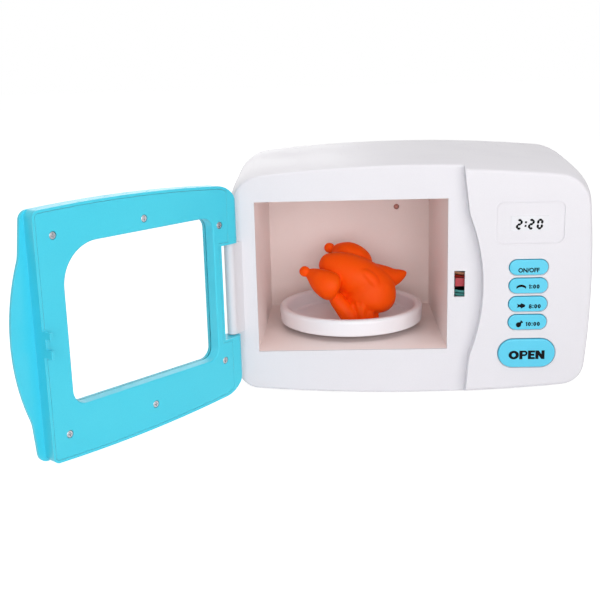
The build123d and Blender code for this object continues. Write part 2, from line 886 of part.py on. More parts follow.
def make_rear_housing(skin, hollow):
    """Rear shell: back wall with battery case, speaker ring, screw tubes and posts."""
    tube_length = case_mouth - seam_depth
    tube_radius = housing_head_radius + housing_head_gap + housing_tube_wall
    with BuildPart() as rear_housing:
        add(skin)
        split(bisect_by=face_plane(seam_depth), keep=Keep.BOTTOM)
        add(hollow, mode=Mode.SUBTRACT)
        # Screw tubes from the back wall to the seam
        extrude(
            round_at(face_plane(case_mouth + 0.5), housing_screw_places, tube_radius), tube_length + 0.5
        )
        extrude(
            round_at(
                face_plane(body_depth + 1),
                housing_screw_places,
                housing_head_radius + housing_head_gap,
            ),
            body_depth + 1 - seam_depth - housing_seat_thickness,
            mode=Mode.SUBTRACT,
        )
        extrude(
            round_at(
                face_plane(seam_depth + housing_seat_thickness + 1),
                housing_screw_places,
                housing_screw_core + screw_hole_gap,
            ),
            housing_seat_thickness + 2,
            mode=Mode.SUBTRACT,
        )
        # Posts that press on the back of the oven box
        extrude(
            round_at(face_plane(case_mouth + 0.5), liner_post_places, liner_post_radius),
            case_mouth + 0.5 - cavity_back - liner_wall,
        )
        # Ring that holds the speaker and the sound holes inside it
        ring = speaker_radius + speaker_ring_gap
        extrude(
            round_at(
                face_plane(case_mouth + 0.5), [(speaker_x, speaker_height)], ring + speaker_ring_wall
            ),
            speaker_ring_height + 0.5,
        )
        extrude(
            round_at(face_plane(case_mouth), [(speaker_x, speaker_height)], ring),
            speaker_ring_height + 1,
            mode=Mode.SUBTRACT,
        )
        with BuildSketch(face_plane(body_depth + 1)):
            with Locations((speaker_x, speaker_height)):
                Circle(grille_hole_radius)
                for ring_index in range(grille_rings):
                    with PolarLocations(grille_spacing * (ring_index + 1), 6 * (ring_index + 1)):
                        Circle(grille_hole_radius)
        extrude(amount=housing_wall + 2, mode=Mode.SUBTRACT)
        # Battery case: a box on the back wall with a thicker mouth for the cover
        extrude(
            box_at(
                face_plane(case_mouth + 0.5),
                case_inner_left - cover_ledge - case_wall,
                case_inner_right + cover_ledge + case_wall,
                case_inner_low - cover_ledge - case_wall,
                case_inner_high + cover_ledge + case_wall,
            ),
            ledge_thickness + 0.5,
        )
        extrude(
            round_at(
                face_plane(case_mouth + 0.5), [cover_screw_place], cover_ear_radius + case_wall
            ),
            cover_boss_length + 0.5,
        )
        extrude(
            box_at(face_plane(case_mouth + 0.5), case_left, case_right, case_low, case_high),
            case_depth_room + case_wall + 0.5,
        )
        extrude(
            box_at(
                face_plane(body_depth + 1),
                case_inner_left,
                case_inner_right,
                case_inner_low,
                case_inner_high,
            ),
            body_depth + 1 - case_bottom,
            mode=Mode.SUBTRACT,
        )
        with BuildSketch(face_plane(body_depth + 1)):
            with Locations((case_middle, (case_inner_low + case_inner_high) / 2)):
                Rectangle(
                    case_inner_right - case_inner_left + 2 * cover_ledge,
                    case_inner_high - case_inner_low + 2 * cover_ledge,
                )
            with Locations(cover_screw_place):
                Circle(cover_ear_radius + cover_gap)
        extrude(amount=cover_thickness + 1 + cover_seat_gap, mode=Mode.SUBTRACT)
        extrude(
            round_at(
                face_plane(body_depth), [cover_screw_place], cover_screw_radius + pin_running_gap
            ),
            cover_screw_length + 1.0,
            mode=Mode.SUBTRACT,
        )
        # Slots in the case floor for the two end contacts' tabs
        for edge, height in ((case_inner_left, cell_heights[0]), (case_inner_right, cell_heights[-1])):
            extrude(
                box_at(
                    face_plane(case_bottom + 1),
                    edge - tab_room if edge > case_middle else edge,
                    edge if edge > case_middle else edge + tab_room,
                    height - tab_width / 2 - tab_gap,
                    height + tab_width / 2 + tab_gap,
                ),
                case_wall + 2,
                mode=Mode.SUBTRACT,
            )
        extrude(
            round_at(level_plane(foot_height), foot_places[2:4], foot_plug_radius),
            foot_sink,
            mode=Mode.SUBTRACT,
        )
    save(rear_housing.part, "rear_housing")


def make_feet():
    """Four rubber feet with a plug that goes into the housing."""
    with BuildPart() as feet:
        extrude(round_at(level_plane(0), foot_places, foot_radius), foot_height)
        fillet(feet.faces().group_by(Axis.Z)[0].edges(), foot_edge_radius)
        extrude(
            round_at(level_plane(foot_height), foot_places, foot_plug_radius), foot_sink
        )
    save(feet.part, "feet")


def screw_set(plane_list, head_radius, head_height, core_radius, length):
    """Identical pan head screws; every plane faces out of its head."""
    with BuildPart() as screws:
        for plane in plane_list:
            with BuildSketch(plane):
                Circle(head_radius)
            extrude(amount=head_height)
            with BuildSketch(plane):
                Circle(core_radius)
            extrude(amount=-length)
        tops = [
            face
            for face in screws.faces().filter_by(GeomType.PLANE)
            if abs(face.area - math.pi * head_radius**2) < 0.01
        ]
        fillet([edge for face in tops for edge in face.edges()], head_height * 0.4)
        for plane in plane_list:
            with BuildSketch(plane.offset(head_height)):
                Rectangle(head_radius * 1.2, head_radius * 0.32)
                Rectangle(head_radius * 0.32, head_radius * 1.2)
            extrude(amount=-head_height * 0.6, mode=Mode.SUBTRACT)
    return screws.part


def plane_at(plane, place):
    """The same plane with its origin moved to a place on it."""
    return Plane(
        origin=plane.from_local_coords(Vector(place[0], place[1], 0)),
        x_dir=plane.x_dir,
        z_dir=plane.z_dir,
    )


def back_plane(depth):
    """Upright plane across the body that faces the back."""
    return Plane(origin=(-frame_x, depth - frame_depth, 0), x_dir=(-1, 0, 0), z_dir=(0, 1, 0))


def make_screws():
    """All fasteners, one group for each size and place."""
    seat = seam_depth + housing_seat_thickness
    housing_planes = [plane_at(back_plane(seat), (-x, z)) for x, z in housing_screw_places]
    save(
        screw_set(
            housing_planes,
            housing_head_radius,
            housing_head_height,
            housing_screw_core,
            housing_screw_length,
        ),
        "housing_screws",
    )
    inner_planes = [plane_at(back_plane(board_back), (-x, z)) for x, z in board_corners]
    guide_back = open_guide_depth + open_guide_thickness
    inner_planes += [plane_at(back_plane(guide_back), (-x, z)) for x, z in guide_post_places]
    washer_back = lever_post_end + lever_washer_thickness
    inner_planes += [plane_at(back_plane(washer_back), (-lever_pivot_x, lever_pivot_height))]
    under = Plane(origin=(-frame_x, -frame_depth, gearbox_base_low), x_dir=(1, 0, 0), z_dir=(0, 0, -1))
    inner_planes += [plane_at(under, (x, -y)) for x, y in drive_post_places]
    inner_planes += [plane_at(level_plane(gearbox_top), place) for place in lid_post_places]
    save(
        screw_set(
            inner_planes, screw_head_radius, screw_head_height, screw_core_radius, inner_screw_length
        ),
        "inner_screws",
    )
    motor_planes = [
        plane_at(level_plane(gearbox_floor), (pinion_x, table_depth + way * motor_screw_reach))
        for way in (1, -1)
    ]
    save(
        screw_set(
            motor_planes,
            motor_screw_head_radius,
            motor_screw_head_height,
            motor_screw_core,
            motor_screw_length,
        ),
        "motor_screws",
    )
    inner_face = door_plane(screw_head_height + screw_sink_gap)
    door_planes = [
        Plane(
            origin=inner_face.from_local_coords(Vector(reach, height, 0)),
            x_dir=inner_face.x_dir,
            z_dir=-inner_face.z_dir,
        )
        for reach, height in door_screw_places
    ]
    save(
        screw_set(
            door_planes, screw_head_radius, screw_head_height, screw_core_radius, door_screw_length
        ),
        "door_screws",
    )
    cover_spot = (-cover_screw_place[0], cover_screw_place[1])
    cover_plane = plane_at(back_plane(body_depth - cover_screw_sink), cover_spot)
    save(
        screw_set(
            [cover_plane],
            cover_head_radius,
            cover_head_height,
            cover_screw_radius,
            cover_screw_length - cover_screw_sink,
        ),
        "battery_cover_screw",
    )


def make_liner():
    """Oven box: tapered tray open to the front, with a flange and drive posts."""
    back_right = cavity_right - cavity_draft
    back_left = cavity_left + cavity_draft
    back_top = cavity_top - cavity_draft
    with BuildPart() as cavity_liner:
        loft(
            [
                box_at(
                    face_plane(recess_back),
                    cavity_left - liner_wall,
                    cavity_right + liner_wall,
                    cavity_floor - liner_wall,
                    cavity_top + liner_wall,
                ),
                box_at(
                    face_plane(cavity_back + liner_wall),
                    back_left - liner_wall,
                    back_right + liner_wall,
                    cavity_floor - liner_wall,
                    back_top + liner_wall,
                ),
            ]
        )
        edge = liner_wall + liner_flange
        extrude(
            box_at(
                face_plane(recess_back + liner_flange_thickness),
                cavity_left - edge,
                cavity_right + edge,
                cavity_floor - edge,
                cavity_top + edge,
            ),
            liner_flange_thickness,
        )
        # Posts under the floor that the gearbox hangs from
        extrude(
            round_at(level_plane(gearbox_floor), drive_post_places, drive_post_radius),
            cavity_floor - gearbox_floor - 0.5,
        )
        loft(
            [
                box_at(face_plane(recess_back), cavity_left, cavity_right, cavity_floor, cavity_top),
                box_at(face_plane(cavity_back), back_left, back_right, cavity_floor, back_top),
            ],
            mode=Mode.SUBTRACT,
        )
        extrude(
            round_at(
                level_plane(cavity_floor - liner_wall - 1),
                [(table_x, table_depth)],
                shaft_radius + liner_hole_gap,
            ),
            liner_wall + 2,
            mode=Mode.SUBTRACT,
        )
        extrude(
            round_at(
                face_plane(cavity_back + liner_wall + 1),
                [(lamp_x, cavity_top - lamp_drop)],
                lamp_radius + lamp_gap,
            ),
            liner_wall + 2,
            mode=Mode.SUBTRACT,
        )
        extrude(
            round_at(level_plane(gearbox_floor), drive_post_places, screw_core_radius),
            inner_screw_length - gearbox_base_thickness,
            mode=Mode.SUBTRACT,
        )
    save(cavity_liner.part, "cavity_liner")


def make_lamp():
    """Small lamp that looks through the back wall of the oven box."""
    outside = cavity_back + liner_wall
    place = [(lamp_x, cavity_top - lamp_drop)]
    with BuildPart() as led_lamp:
        extrude(
            round_at(face_plane(outside + lamp_flange_thickness), place, lamp_flange_radius),
            lamp_flange_thickness,
        )
        extrude(
            round_at(face_plane(outside + lamp_body_length), place, lamp_radius),
            lamp_body_length + liner_wall + lamp_reach,
        )
        fillet(led_lamp.faces().sort_by(Axis.Y)[0].edges(), lamp_radius * 0.9)
    save(led_lamp.part, "led_lamp")


def make_turntable():
    """Round dish with a rolled rim, open underneath, and a hub that fits over the drive shaft."""
    center = (table_x - frame_x, table_depth - frame_depth, 0)
    plane = Plane(origin=center, x_dir=(1, 0, 0), z_dir=(0, -1, 0))
    rim_inside = table_radius - table_rim_width
    groove_start = rim_inside + table_rim_wall
    skirt_outside = table_radius - table_taper
    groove_end = skirt_outside - table_rim_wall
    groove_top = dish_top - table_rim_wall - 0.4
    skirt_low = dish_low + table_skirt_lift
    with BuildPart() as turntable:
        with BuildSketch(plane):
            with BuildLine():
                Polyline(
                    (0, dish_low),
                    (groove_start, dish_low),
                    (groove_start, groove_top),
                    (groove_end, groove_top),
                    (groove_end, skirt_low),
                    (skirt_outside, skirt_low),
                    (table_radius, dish_top),
                    (rim_inside, dish_top),
                    (rim_inside - table_taper, dish_floor + 1.5),
                    (rim_inside - table_taper - 1.5, dish_floor),
                    (0, dish_floor),
                    close=True,
                )
            make_face()
        revolve(axis=Axis(plane.origin, (0, 0, 1)))
        fillet(turntable.faces().sort_by(Axis.Z)[-1].edges(), table_rim_round)
        rim_edges = turntable.edges().filter_by(GeomType.CIRCLE)
        skirt_edge = [edge for edge in rim_edges if abs(edge.radius - skirt_outside) < 0.01]
        fillet(skirt_edge, table_rim_wall * 0.6)
        extrude(
            round_at(level_plane(cavity_floor + hub_lift), [(table_x, table_depth)], table_hub_radius),
            table_lift - hub_lift + 0.5,
        )
        with BuildSketch(level_plane(cavity_floor + hub_lift)):
            with Locations((table_x, table_depth)):
                Circle(shaft_radius + key_gap)
                Rectangle(
                    3 * shaft_radius, drive_key_width + 2 * key_gap, mode=Mode.INTERSECT
                )
        extrude(amount=key_top - cavity_floor - hub_lift, mode=Mode.SUBTRACT)
    save(turntable.part, "turntable")


def gear_teeth(plane, center, teeth, turn):
    """Spur gear outline with straight-sided teeth, the first tooth at the turn angle."""
    pitch = gear_module * teeth / 2
    points = []
    for index in range(teeth):
        middle = 2 * math.pi * index / teeth + math.radians(turn)
        corners = [
            (pitch - gear_module, -0.55),
            (pitch, -tooth_share),
            (pitch + tooth_tip, -0.2),
            (pitch + tooth_tip, 0.2),
            (pitch, tooth_share),
            (pitch - gear_module, 0.55),
        ]
        for radius, share in corners:
            angle = middle + share * math.pi / teeth
            points.append((center[0] + radius * math.cos(angle), center[1] + radius * math.sin(angle)))
    with BuildSketch(plane) as outline:
        with BuildLine():
            Polyline(*points, close=True)
        make_face()
    return outline.sketch


def make_gears():
    """Output gear with the drive shaft, double gear, motor pinion and their pins."""
    middle = [(table_x, table_depth)]
    with BuildPart() as output_gear:
        extrude(
            round_at(level_plane(gearbox_base_low + 0.4), middle, shaft_radius),
            cavity_floor - gearbox_base_low,
        )
        extrude(
            round_at(level_plane(gearbox_floor + axial_gap), middle, shaft_radius + 2.0),
            lower_level - gearbox_floor - axial_gap + 0.5,
        )
        extrude(
            round_at(level_plane(lid_floor - axial_gap - 0.5), middle, shaft_radius + 1.5), 0.5
        )
        extrude(
            gear_teeth(level_plane(lower_level), (table_x, table_depth), large_teeth, 0), gear_thickness
        )
        with BuildSketch(level_plane(cavity_floor + 0.2)):
            with Locations((table_x, table_depth)):
                Circle(shaft_radius)
                Rectangle(3 * shaft_radius, drive_key_width, mode=Mode.INTERSECT)
        extrude(amount=key_top - cavity_floor - 0.2)
    save(output_gear.part, "output_gear")
    middle = [(compound_x, table_depth)]
    with BuildPart() as compound_gear:
        extrude(
            round_at(level_plane(gearbox_floor + axial_gap), middle, small_radius - gear_module),
            lid_floor - gearbox_floor - 2 * axial_gap,
        )
        extrude(
            gear_teeth(
                level_plane(lower_level), (compound_x, table_depth), small_teeth, 180 / small_teeth
            ),
            gear_thickness,
        )
        extrude(
            gear_teeth(level_plane(upper_level), (compound_x, table_depth), large_teeth, 0),
            gear_thickness,
        )
        extrude(
            round_at(level_plane(gearbox_floor), middle, compound_axle_radius + axle_gap),
            lid_floor - gearbox_floor,
            mode=Mode.SUBTRACT,
        )
    save(compound_gear.part, "compound_gear")
    with BuildPart() as gear_axle:
        extrude(
            round_at(level_plane(gearbox_base_low + 0.4), middle, compound_axle_radius),
            lid_floor + gearbox_lid_thickness * 0.6 - gearbox_base_low - 0.4,
        )
    save(gear_axle.part, "gear_axle")
    middle = [(pinion_x, table_depth)]
    with BuildPart() as motor_pinion:
        extrude(
            gear_teeth(
                level_plane(upper_level), (pinion_x, table_depth), small_teeth, 180 / small_teeth
            ),
            gear_thickness,
        )
        extrude(
            round_at(level_plane(upper_level), middle, motor_shaft_radius),
            gear_thickness,
            mode=Mode.SUBTRACT,
        )
    save(motor_pinion.part, "motor_pinion")
    with BuildPart() as motor_shaft:
        extrude(
            round_at(level_plane(motor_low + 3.0), middle, motor_shaft_radius),
            upper_level + gear_thickness - motor_low - 3.0,
        )
    save(motor_shaft.part, "motor_shaft")


def make_gearbox():
    """Tray and lid of the turntable drive, and the motor below the tray."""
    low_side = table_depth - gearbox_half
    high_side = table_depth + gearbox_half
    with BuildPart() as gearbox_base:
        extrude(
            box_at(level_plane(gearbox_base_low), gearbox_left, gearbox_right, low_side, high_side),
            lid_floor - gearbox_base_low,
        )
        extrude(
            box_at(
                level_plane(gearbox_floor),
                gearbox_left + gearbox_wall,
                gearbox_right - gearbox_wall,
                low_side + gearbox_wall,
                high_side - gearbox_wall,
            ),
            lid_floor - gearbox_floor,
            mode=Mode.SUBTRACT,
        )
        extrude(
            round_at(level_plane(gearbox_base_low), drive_post_places, drive_ear_radius),
            gearbox_base_thickness,
        )
        extrude(
            round_at(level_plane(gearbox_floor - 0.5), lid_post_places, lid_post_radius),
            lid_floor - gearbox_floor + 0.5,
        )
        extrude(
            round_at(
                level_plane(gearbox_top - inner_screw_length),
                lid_post_places,
                screw_core_radius,
            ),
            inner_screw_length,
            mode=Mode.SUBTRACT,
        )
        through = gearbox_base_thickness + 2
        holes = [
            ([(table_x, table_depth)], shaft_radius + shaft_hole_gap),
            ([(compound_x, table_depth)], compound_axle_radius),
            ([(pinion_x, table_depth)], motor_nose_radius),
            (drive_post_places, screw_core_radius + screw_hole_gap),
            (
                [(pinion_x, table_depth + way * motor_screw_reach) for way in (1, -1)],
                motor_screw_core + screw_hole_gap / 2,
            ),
        ]
        for places, radius in holes:
            extrude(
                round_at(level_plane(gearbox_base_low - 1), places, radius),
                through,
                mode=Mode.SUBTRACT,
            )
    save(gearbox_base.part, "gearbox_base")
    with BuildPart() as gearbox_lid:
        extrude(
            box_at(level_plane(lid_floor), gearbox_left, gearbox_right, low_side, high_side),
            gearbox_lid_thickness,
        )
        through = gearbox_lid_thickness + 2
        holes = [
            (lid_floor - 1, [(table_x, table_depth)], shaft_radius + shaft_hole_gap, through),
            (lid_floor, [(compound_x, table_depth)], compound_axle_radius, gearbox_lid_thickness * 0.6),
            (lid_floor - 1, lid_post_places, screw_core_radius + screw_hole_gap, through),
        ]
        for height, places, radius, depth in holes:
            extrude(round_at(level_plane(height), places, radius), depth, mode=Mode.SUBTRACT)
    save(gearbox_lid.part, "gearbox_lid")
    middle = (pinion_x, table_depth)
    with BuildPart() as drive_motor:
        with BuildSketch(level_plane(motor_low)):
            with Locations(middle):
                Circle(motor_radius)
                Rectangle(3 * motor_radius, 2 * motor_flat, mode=Mode.INTERSECT)
        extrude(amount=motor_height)
        fillet(drive_motor.faces().sort_by(Axis.Z)[0].edges(), 1.2)
        extrude(round_at(level_plane(gearbox_base_low), [middle], motor_nose_radius), motor_nose_height)
        for way in (1, -1):
            extrude(
                box_at(
                    level_plane(terminal_height),
                    pinion_x + motor_radius - 1.5,
                    pinion_x + motor_radius + terminal_reach,
                    table_depth + way * terminal_spread - 1.0,
                    table_depth + way * terminal_spread + 1.0,
                ),
                0.5,
            )
        extrude(
            round_at(level_plane(motor_low + 3.0), [middle], motor_shaft_radius + pin_running_gap),
            motor_height + motor_nose_height,
            mode=Mode.SUBTRACT,
        )
        extrude(
            round_at(
                level_plane(gearbox_base_low),
                [(pinion_x, table_depth + way * motor_screw_reach) for way in (1, -1)],
                motor_screw_core,
            ),
            gearbox_base_thickness - motor_screw_length,
            mode=Mode.SUBTRACT,
        )
    save(drive_motor.part, "drive_motor")


def ringed_form(rings):
    """Faceted solid through eight-sided rings. Each ring has a place on the body and a radius."""
    places = [Vector(x - frame_x, depth - frame_depth, height) for x, depth, height, radius in rings]
    along = (places[-1] - places[0]).normalized()
    side = along.cross(Vector(0, 0, 1)).normalized()
    sections = []
    for place, (x, depth, height, radius) in zip(places, rings):
        with BuildSketch(Plane(origin=place, x_dir=side, z_dir=along)) as section:
            RegularPolygon(radius, roast_sides)
        sections.append(section.sketch)
    return loft(sections, ruled=True)


def make_roast():
    """Play roast: breast, two folded legs with knuckles, a pointed wing and a seat."""
    far = 100.0
    with BuildPart() as roast_chicken:
        for rings in roast_forms:
            add(ringed_form(rings))
        # Flat patch it stands on
        with BuildSketch(level_plane(dish_floor + roast_lift)):
            with Locations((table_x, table_depth)):
                Rectangle(3 * far, 3 * far)
        extrude(amount=-far, mode=Mode.SUBTRACT)
    save(roast_chicken.part, "roast_chicken")


def make_panel_pieces():
    """Display label, four small buttons with their plungers, and the opening button."""
    with BuildPart() as display_label:
        with BuildSketch(face_plane(display_depth / 2)):
            with Locations((panel_x, label_center)):
                RectangleRounded(label_width, label_height, 0.6)
        extrude(amount=label_thickness)
    save(display_label.part, "display_label")
    names = ["power", "time_upper", "time_middle", "time_lower"]
    for index, name in enumerate(names):
        middle = (panel_x, button_center(index))
        with BuildPart() as button:
            extrude(
                pill(face_plane(flange_front), middle, button_width, button_height),
                flange_front + button_face,
            )
            fillet(button.faces().sort_by(Axis.Y)[0].edges(), button_edge)
            extrude(
                pill(
                    face_plane(flange_back),
                    middle,
                    button_width + 2 * button_flange,
                    button_height + 2 * button_flange,
                ),
                button_flange_thickness,
            )
            extrude(
                round_at(face_plane(stem_end), [middle], button_stem_radius), button_stem_length + 0.4
            )
        save(button.part, name + "_button")
        with BuildPart() as plunger:
            extrude(
                round_at(face_plane(stem_end + switch_plunger_height), [middle], switch_plunger_radius),
                switch_plunger_height,
            )
        save(plunger.part, name + "_plunger")
    with BuildPart() as tact_switches:
        for index in range(button_count):
            middle = (panel_x, button_center(index))
            with BuildSketch(face_plane(board_face)):
                with Locations(middle):
                    Rectangle(switch_body, switch_body)
            extrude(amount=switch_body_height)
            extrude(
                round_at(
                    face_plane(board_face - switch_floor),
                    [middle],
                    switch_plunger_radius + switch_plunger_gap,
                ),
                switch_body_height,
                mode=Mode.SUBTRACT,
            )
    save(tact_switches.part, "tact_switches")
    middle = (panel_x, open_center)
    face_left = lever_foot_x + lever_foot_radius + lever_wedge_gap
    slope = wedge_shift / open_travel
    reach = wedge_tip_depth - lever_depth
    with BuildPart() as open_button:
        extrude(
            pill(face_plane(flange_front), middle, open_width, open_height), flange_front + open_face
        )
        fillet(open_button.faces().sort_by(Axis.Y)[0].edges(), button_edge * 1.5)
        extrude(
            pill(
                face_plane(flange_back),
                middle,
                open_width + 2 * button_flange,
                open_height + 2 * button_flange,
            ),
            button_flange_thickness,
        )
        extrude(
            round_at(
                face_plane(flange_back + open_stem_length), [middle], open_guide_radius
            ),
            open_stem_length + 0.4,
        )
        # Wedge that pushes the foot of the latch lever aside
        with BuildSketch(level_plane(wedge_low)):
            with BuildLine():
                Polyline(
                    (face_left - slope * open_travel, flange_back - 0.4),
                    (face_left - slope * open_travel, lever_depth - open_travel),
                    (face_left + slope * reach, wedge_tip_depth),
                    (face_left + wedge_width, wedge_tip_depth),
                    (face_left + wedge_width, flange_back - 0.4),
                    close=True,
                )
            make_face()
        extrude(amount=wedge_height)
    save(open_button.part, "open_button")
    with BuildPart() as open_button_guide:
        with BuildSketch(face_plane(open_guide_depth + open_guide_thickness)):
            low = guide_post_places[1][1] - open_guide_width / 2
            high = guide_post_places[0][1] + open_guide_width / 2
            with Locations((panel_x, (low + high) / 2)):
                SlotOverall(high - low, open_guide_width, rotation=90)
        extrude(amount=open_guide_thickness)
        extrude(
            round_at(
                face_plane(open_guide_depth + open_guide_thickness + 1),
                [middle],
                open_guide_radius + open_guide_gap,
            ),
            open_guide_thickness + 2,
            mode=Mode.SUBTRACT,
        )
        extrude(
            round_at(
                face_plane(open_guide_depth + open_guide_thickness + 1),
                guide_post_places,
                screw_core_radius + screw_hole_gap,
            ),
            open_guide_thickness + 2,
            mode=Mode.SUBTRACT,
        )
    save(open_button_guide.part, "open_button_guide")


def coil(start, direction, length, radius, wire, turns):
    """Round wire coil along a direction, with its ends one wire inside the length."""
    with BuildPart() as spring:
        with BuildLine() as path:
            Helix(
                pitch=(length - 2 * wire) / turns,
                height=length - 2 * wire,
                radius=radius,
                center=(
                    start[0] - frame_x + direction[0] * wire,
                    start[1] - frame_depth + direction[1] * wire,
                    start[2] + direction[2] * wire,
                ),
                direction=direction,
            )
        with BuildSketch(Plane(origin=path.line @ 0, z_dir=path.line % 0)):
            Circle(wire)
        sweep(is_frenet=True)
    return spring.part


def make_springs():
    """Return springs of the opening button and of the latch lever."""
    save(
        coil(
            (panel_x, flange_back, open_center),
            (0, 1, 0),
            open_guide_depth - flange_back,
            open_spring_radius,
            open_spring_wire,
            open_spring_turns,
        ),
        "open_button_spring",
    )
    lean = (latch_spring_height - lever_pivot_height) / (lever_nose_center - lever_pivot_height)
    arm_side = lever_pivot_x + lever_arm_width / 2 - lean * lever_arm_lean + latch_spring_gap
    save(
        coil(
            (arm_side, lever_depth + lever_thickness / 2, latch_spring_height),
            (1, 0, 0),
            spring_rib_x - arm_side,
            latch_spring_radius,
            latch_spring_wire,
            latch_spring_turns,
        ),
        "latch_spring",
    )


def make_latch():
    """Latch lever with its nose in the catch slot, and the washer that keeps it."""
    foot_x = lever_foot_x - lever_pivot_x
    foot_z = lever_foot_height - lever_pivot_height
    reach = math.hypot(foot_x, foot_z)
    side_x = -foot_z / reach * lever_foot_width / 2
    side_z = foot_x / reach * lever_foot_width / 2
    top_x = lever_pivot_x - lever_arm_lean
    half = lever_arm_width / 2
    nose_low = lever_nose_center - lever_nose_height / 2
    nose_high = lever_nose_center + lever_nose_height / 2
    with BuildPart() as latch_lever:
        with BuildSketch(face_plane(lever_back)) as shape:
            with Locations((lever_pivot_x, lever_pivot_height)):
                Circle(lever_hub_radius)
            with BuildLine():
                Polyline(
                    (lever_pivot_x - half, lever_pivot_height),
                    (lever_pivot_x + half, lever_pivot_height),
                    (top_x + half, nose_high),
                    (top_x - half, nose_high),
                    close=True,
                )
            make_face()
            with BuildLine():
                Polyline(
                    (lever_pivot_x + side_x, lever_pivot_height + side_z),
                    (lever_foot_x + side_x, lever_foot_height + side_z),
                    (lever_foot_x - side_x, lever_foot_height - side_z),
                    (lever_pivot_x - side_x, lever_pivot_height - side_z),
                    close=True,
                )
            make_face()
            with Locations((lever_foot_x, lever_foot_height)):
                Circle(lever_foot_radius)
            with Locations(((lever_nose_tip + top_x) / 2, lever_nose_center)):
                Rectangle(top_x - lever_nose_tip, lever_nose_height)
            with Locations((lever_pivot_x, lever_pivot_height)):
                Circle(lever_post_radius + lever_hole_gap, mode=Mode.SUBTRACT)
        extrude(amount=lever_thickness)
    save(latch_lever.part, "latch_lever")
    with BuildPart() as lever_washer:
        pivot = [(lever_pivot_x, lever_pivot_height)]
        back = lever_post_end + lever_washer_thickness
        extrude(round_at(face_plane(back), pivot, lever_washer_radius), lever_washer_thickness)
        extrude(
            round_at(face_plane(back), pivot, screw_core_radius + pin_running_gap),
            lever_washer_thickness,
            mode=Mode.SUBTRACT,
        )
    save(lever_washer.part, "lever_washer")


def make_board():
    """Circuit board behind the buttons and the sealed chip on its back."""
    with BuildPart() as circuit_board:
        extrude(
            box_at(
                face_plane(board_back), board_left, board_left + board_width, board_low, board_high
            ),
            board_thickness,
        )
        extrude(
            round_at(face_plane(board_back), board_corners, screw_core_radius + screw_hole_gap),
            board_thickness,
            mode=Mode.SUBTRACT,
        )
    save(circuit_board.part, "circuit_board")
    with BuildPart() as chip_seal:
        extrude(round_at(face_plane(board_back + chip_height), [chip_place], chip_radius), chip_height)
        fillet(chip_seal.faces().sort_by(Axis.Y)[-1].edges(), chip_height * 0.9)
    save(chip_seal.part, "chip_seal")


def make_speaker():
    """Speaker basket with its magnet, and the cone inside its rim."""
    center = [(speaker_x, speaker_height)]
    rim_face = case_mouth - speaker_rim
    cup_face = rim_face - speaker_cup_depth
    with BuildPart() as speaker_basket:
        extrude(round_at(face_plane(case_mouth), center, speaker_radius), speaker_rim)
        extrude(round_at(face_plane(rim_face), center, speaker_cup_radius), speaker_cup_depth)
        extrude(round_at(face_plane(cup_face), center, magnet_radius), magnet_thickness)
        extrude(
            round_at(face_plane(case_mouth), center, speaker_cup_radius - 1.2),
            speaker_rim + speaker_cup_depth - 1.2,
            mode=Mode.SUBTRACT,
        )
    save(speaker_basket.part, "speaker_basket")
    rim = speaker_cup_radius - 1.2 - cone_gap
    plane = Plane(
        origin=(speaker_x - frame_x, case_mouth - frame_depth, speaker_height),
        x_dir=(0, -1, 0),
        z_dir=(1, 0, 0),
    )
    with BuildPart() as speaker_cone:
        with BuildSketch(plane):
            with BuildLine():
                Polyline(
                    (0.6, rim),
                    (0.6 + cone_depth, rim * 0.4),
                    (0.6 + cone_depth * 0.7, 0),
                    (0.6 + cone_depth * 0.7 + cone_thickness, 0),
                    (0.6 + cone_depth + cone_thickness, rim * 0.4),
                    (0.6 + cone_thickness, rim),
                    close=True,
                )
            make_face()
        revolve(axis=Axis(plane.origin, (0, 1, 0)))
    save(speaker_cone.part, "speaker_cone")


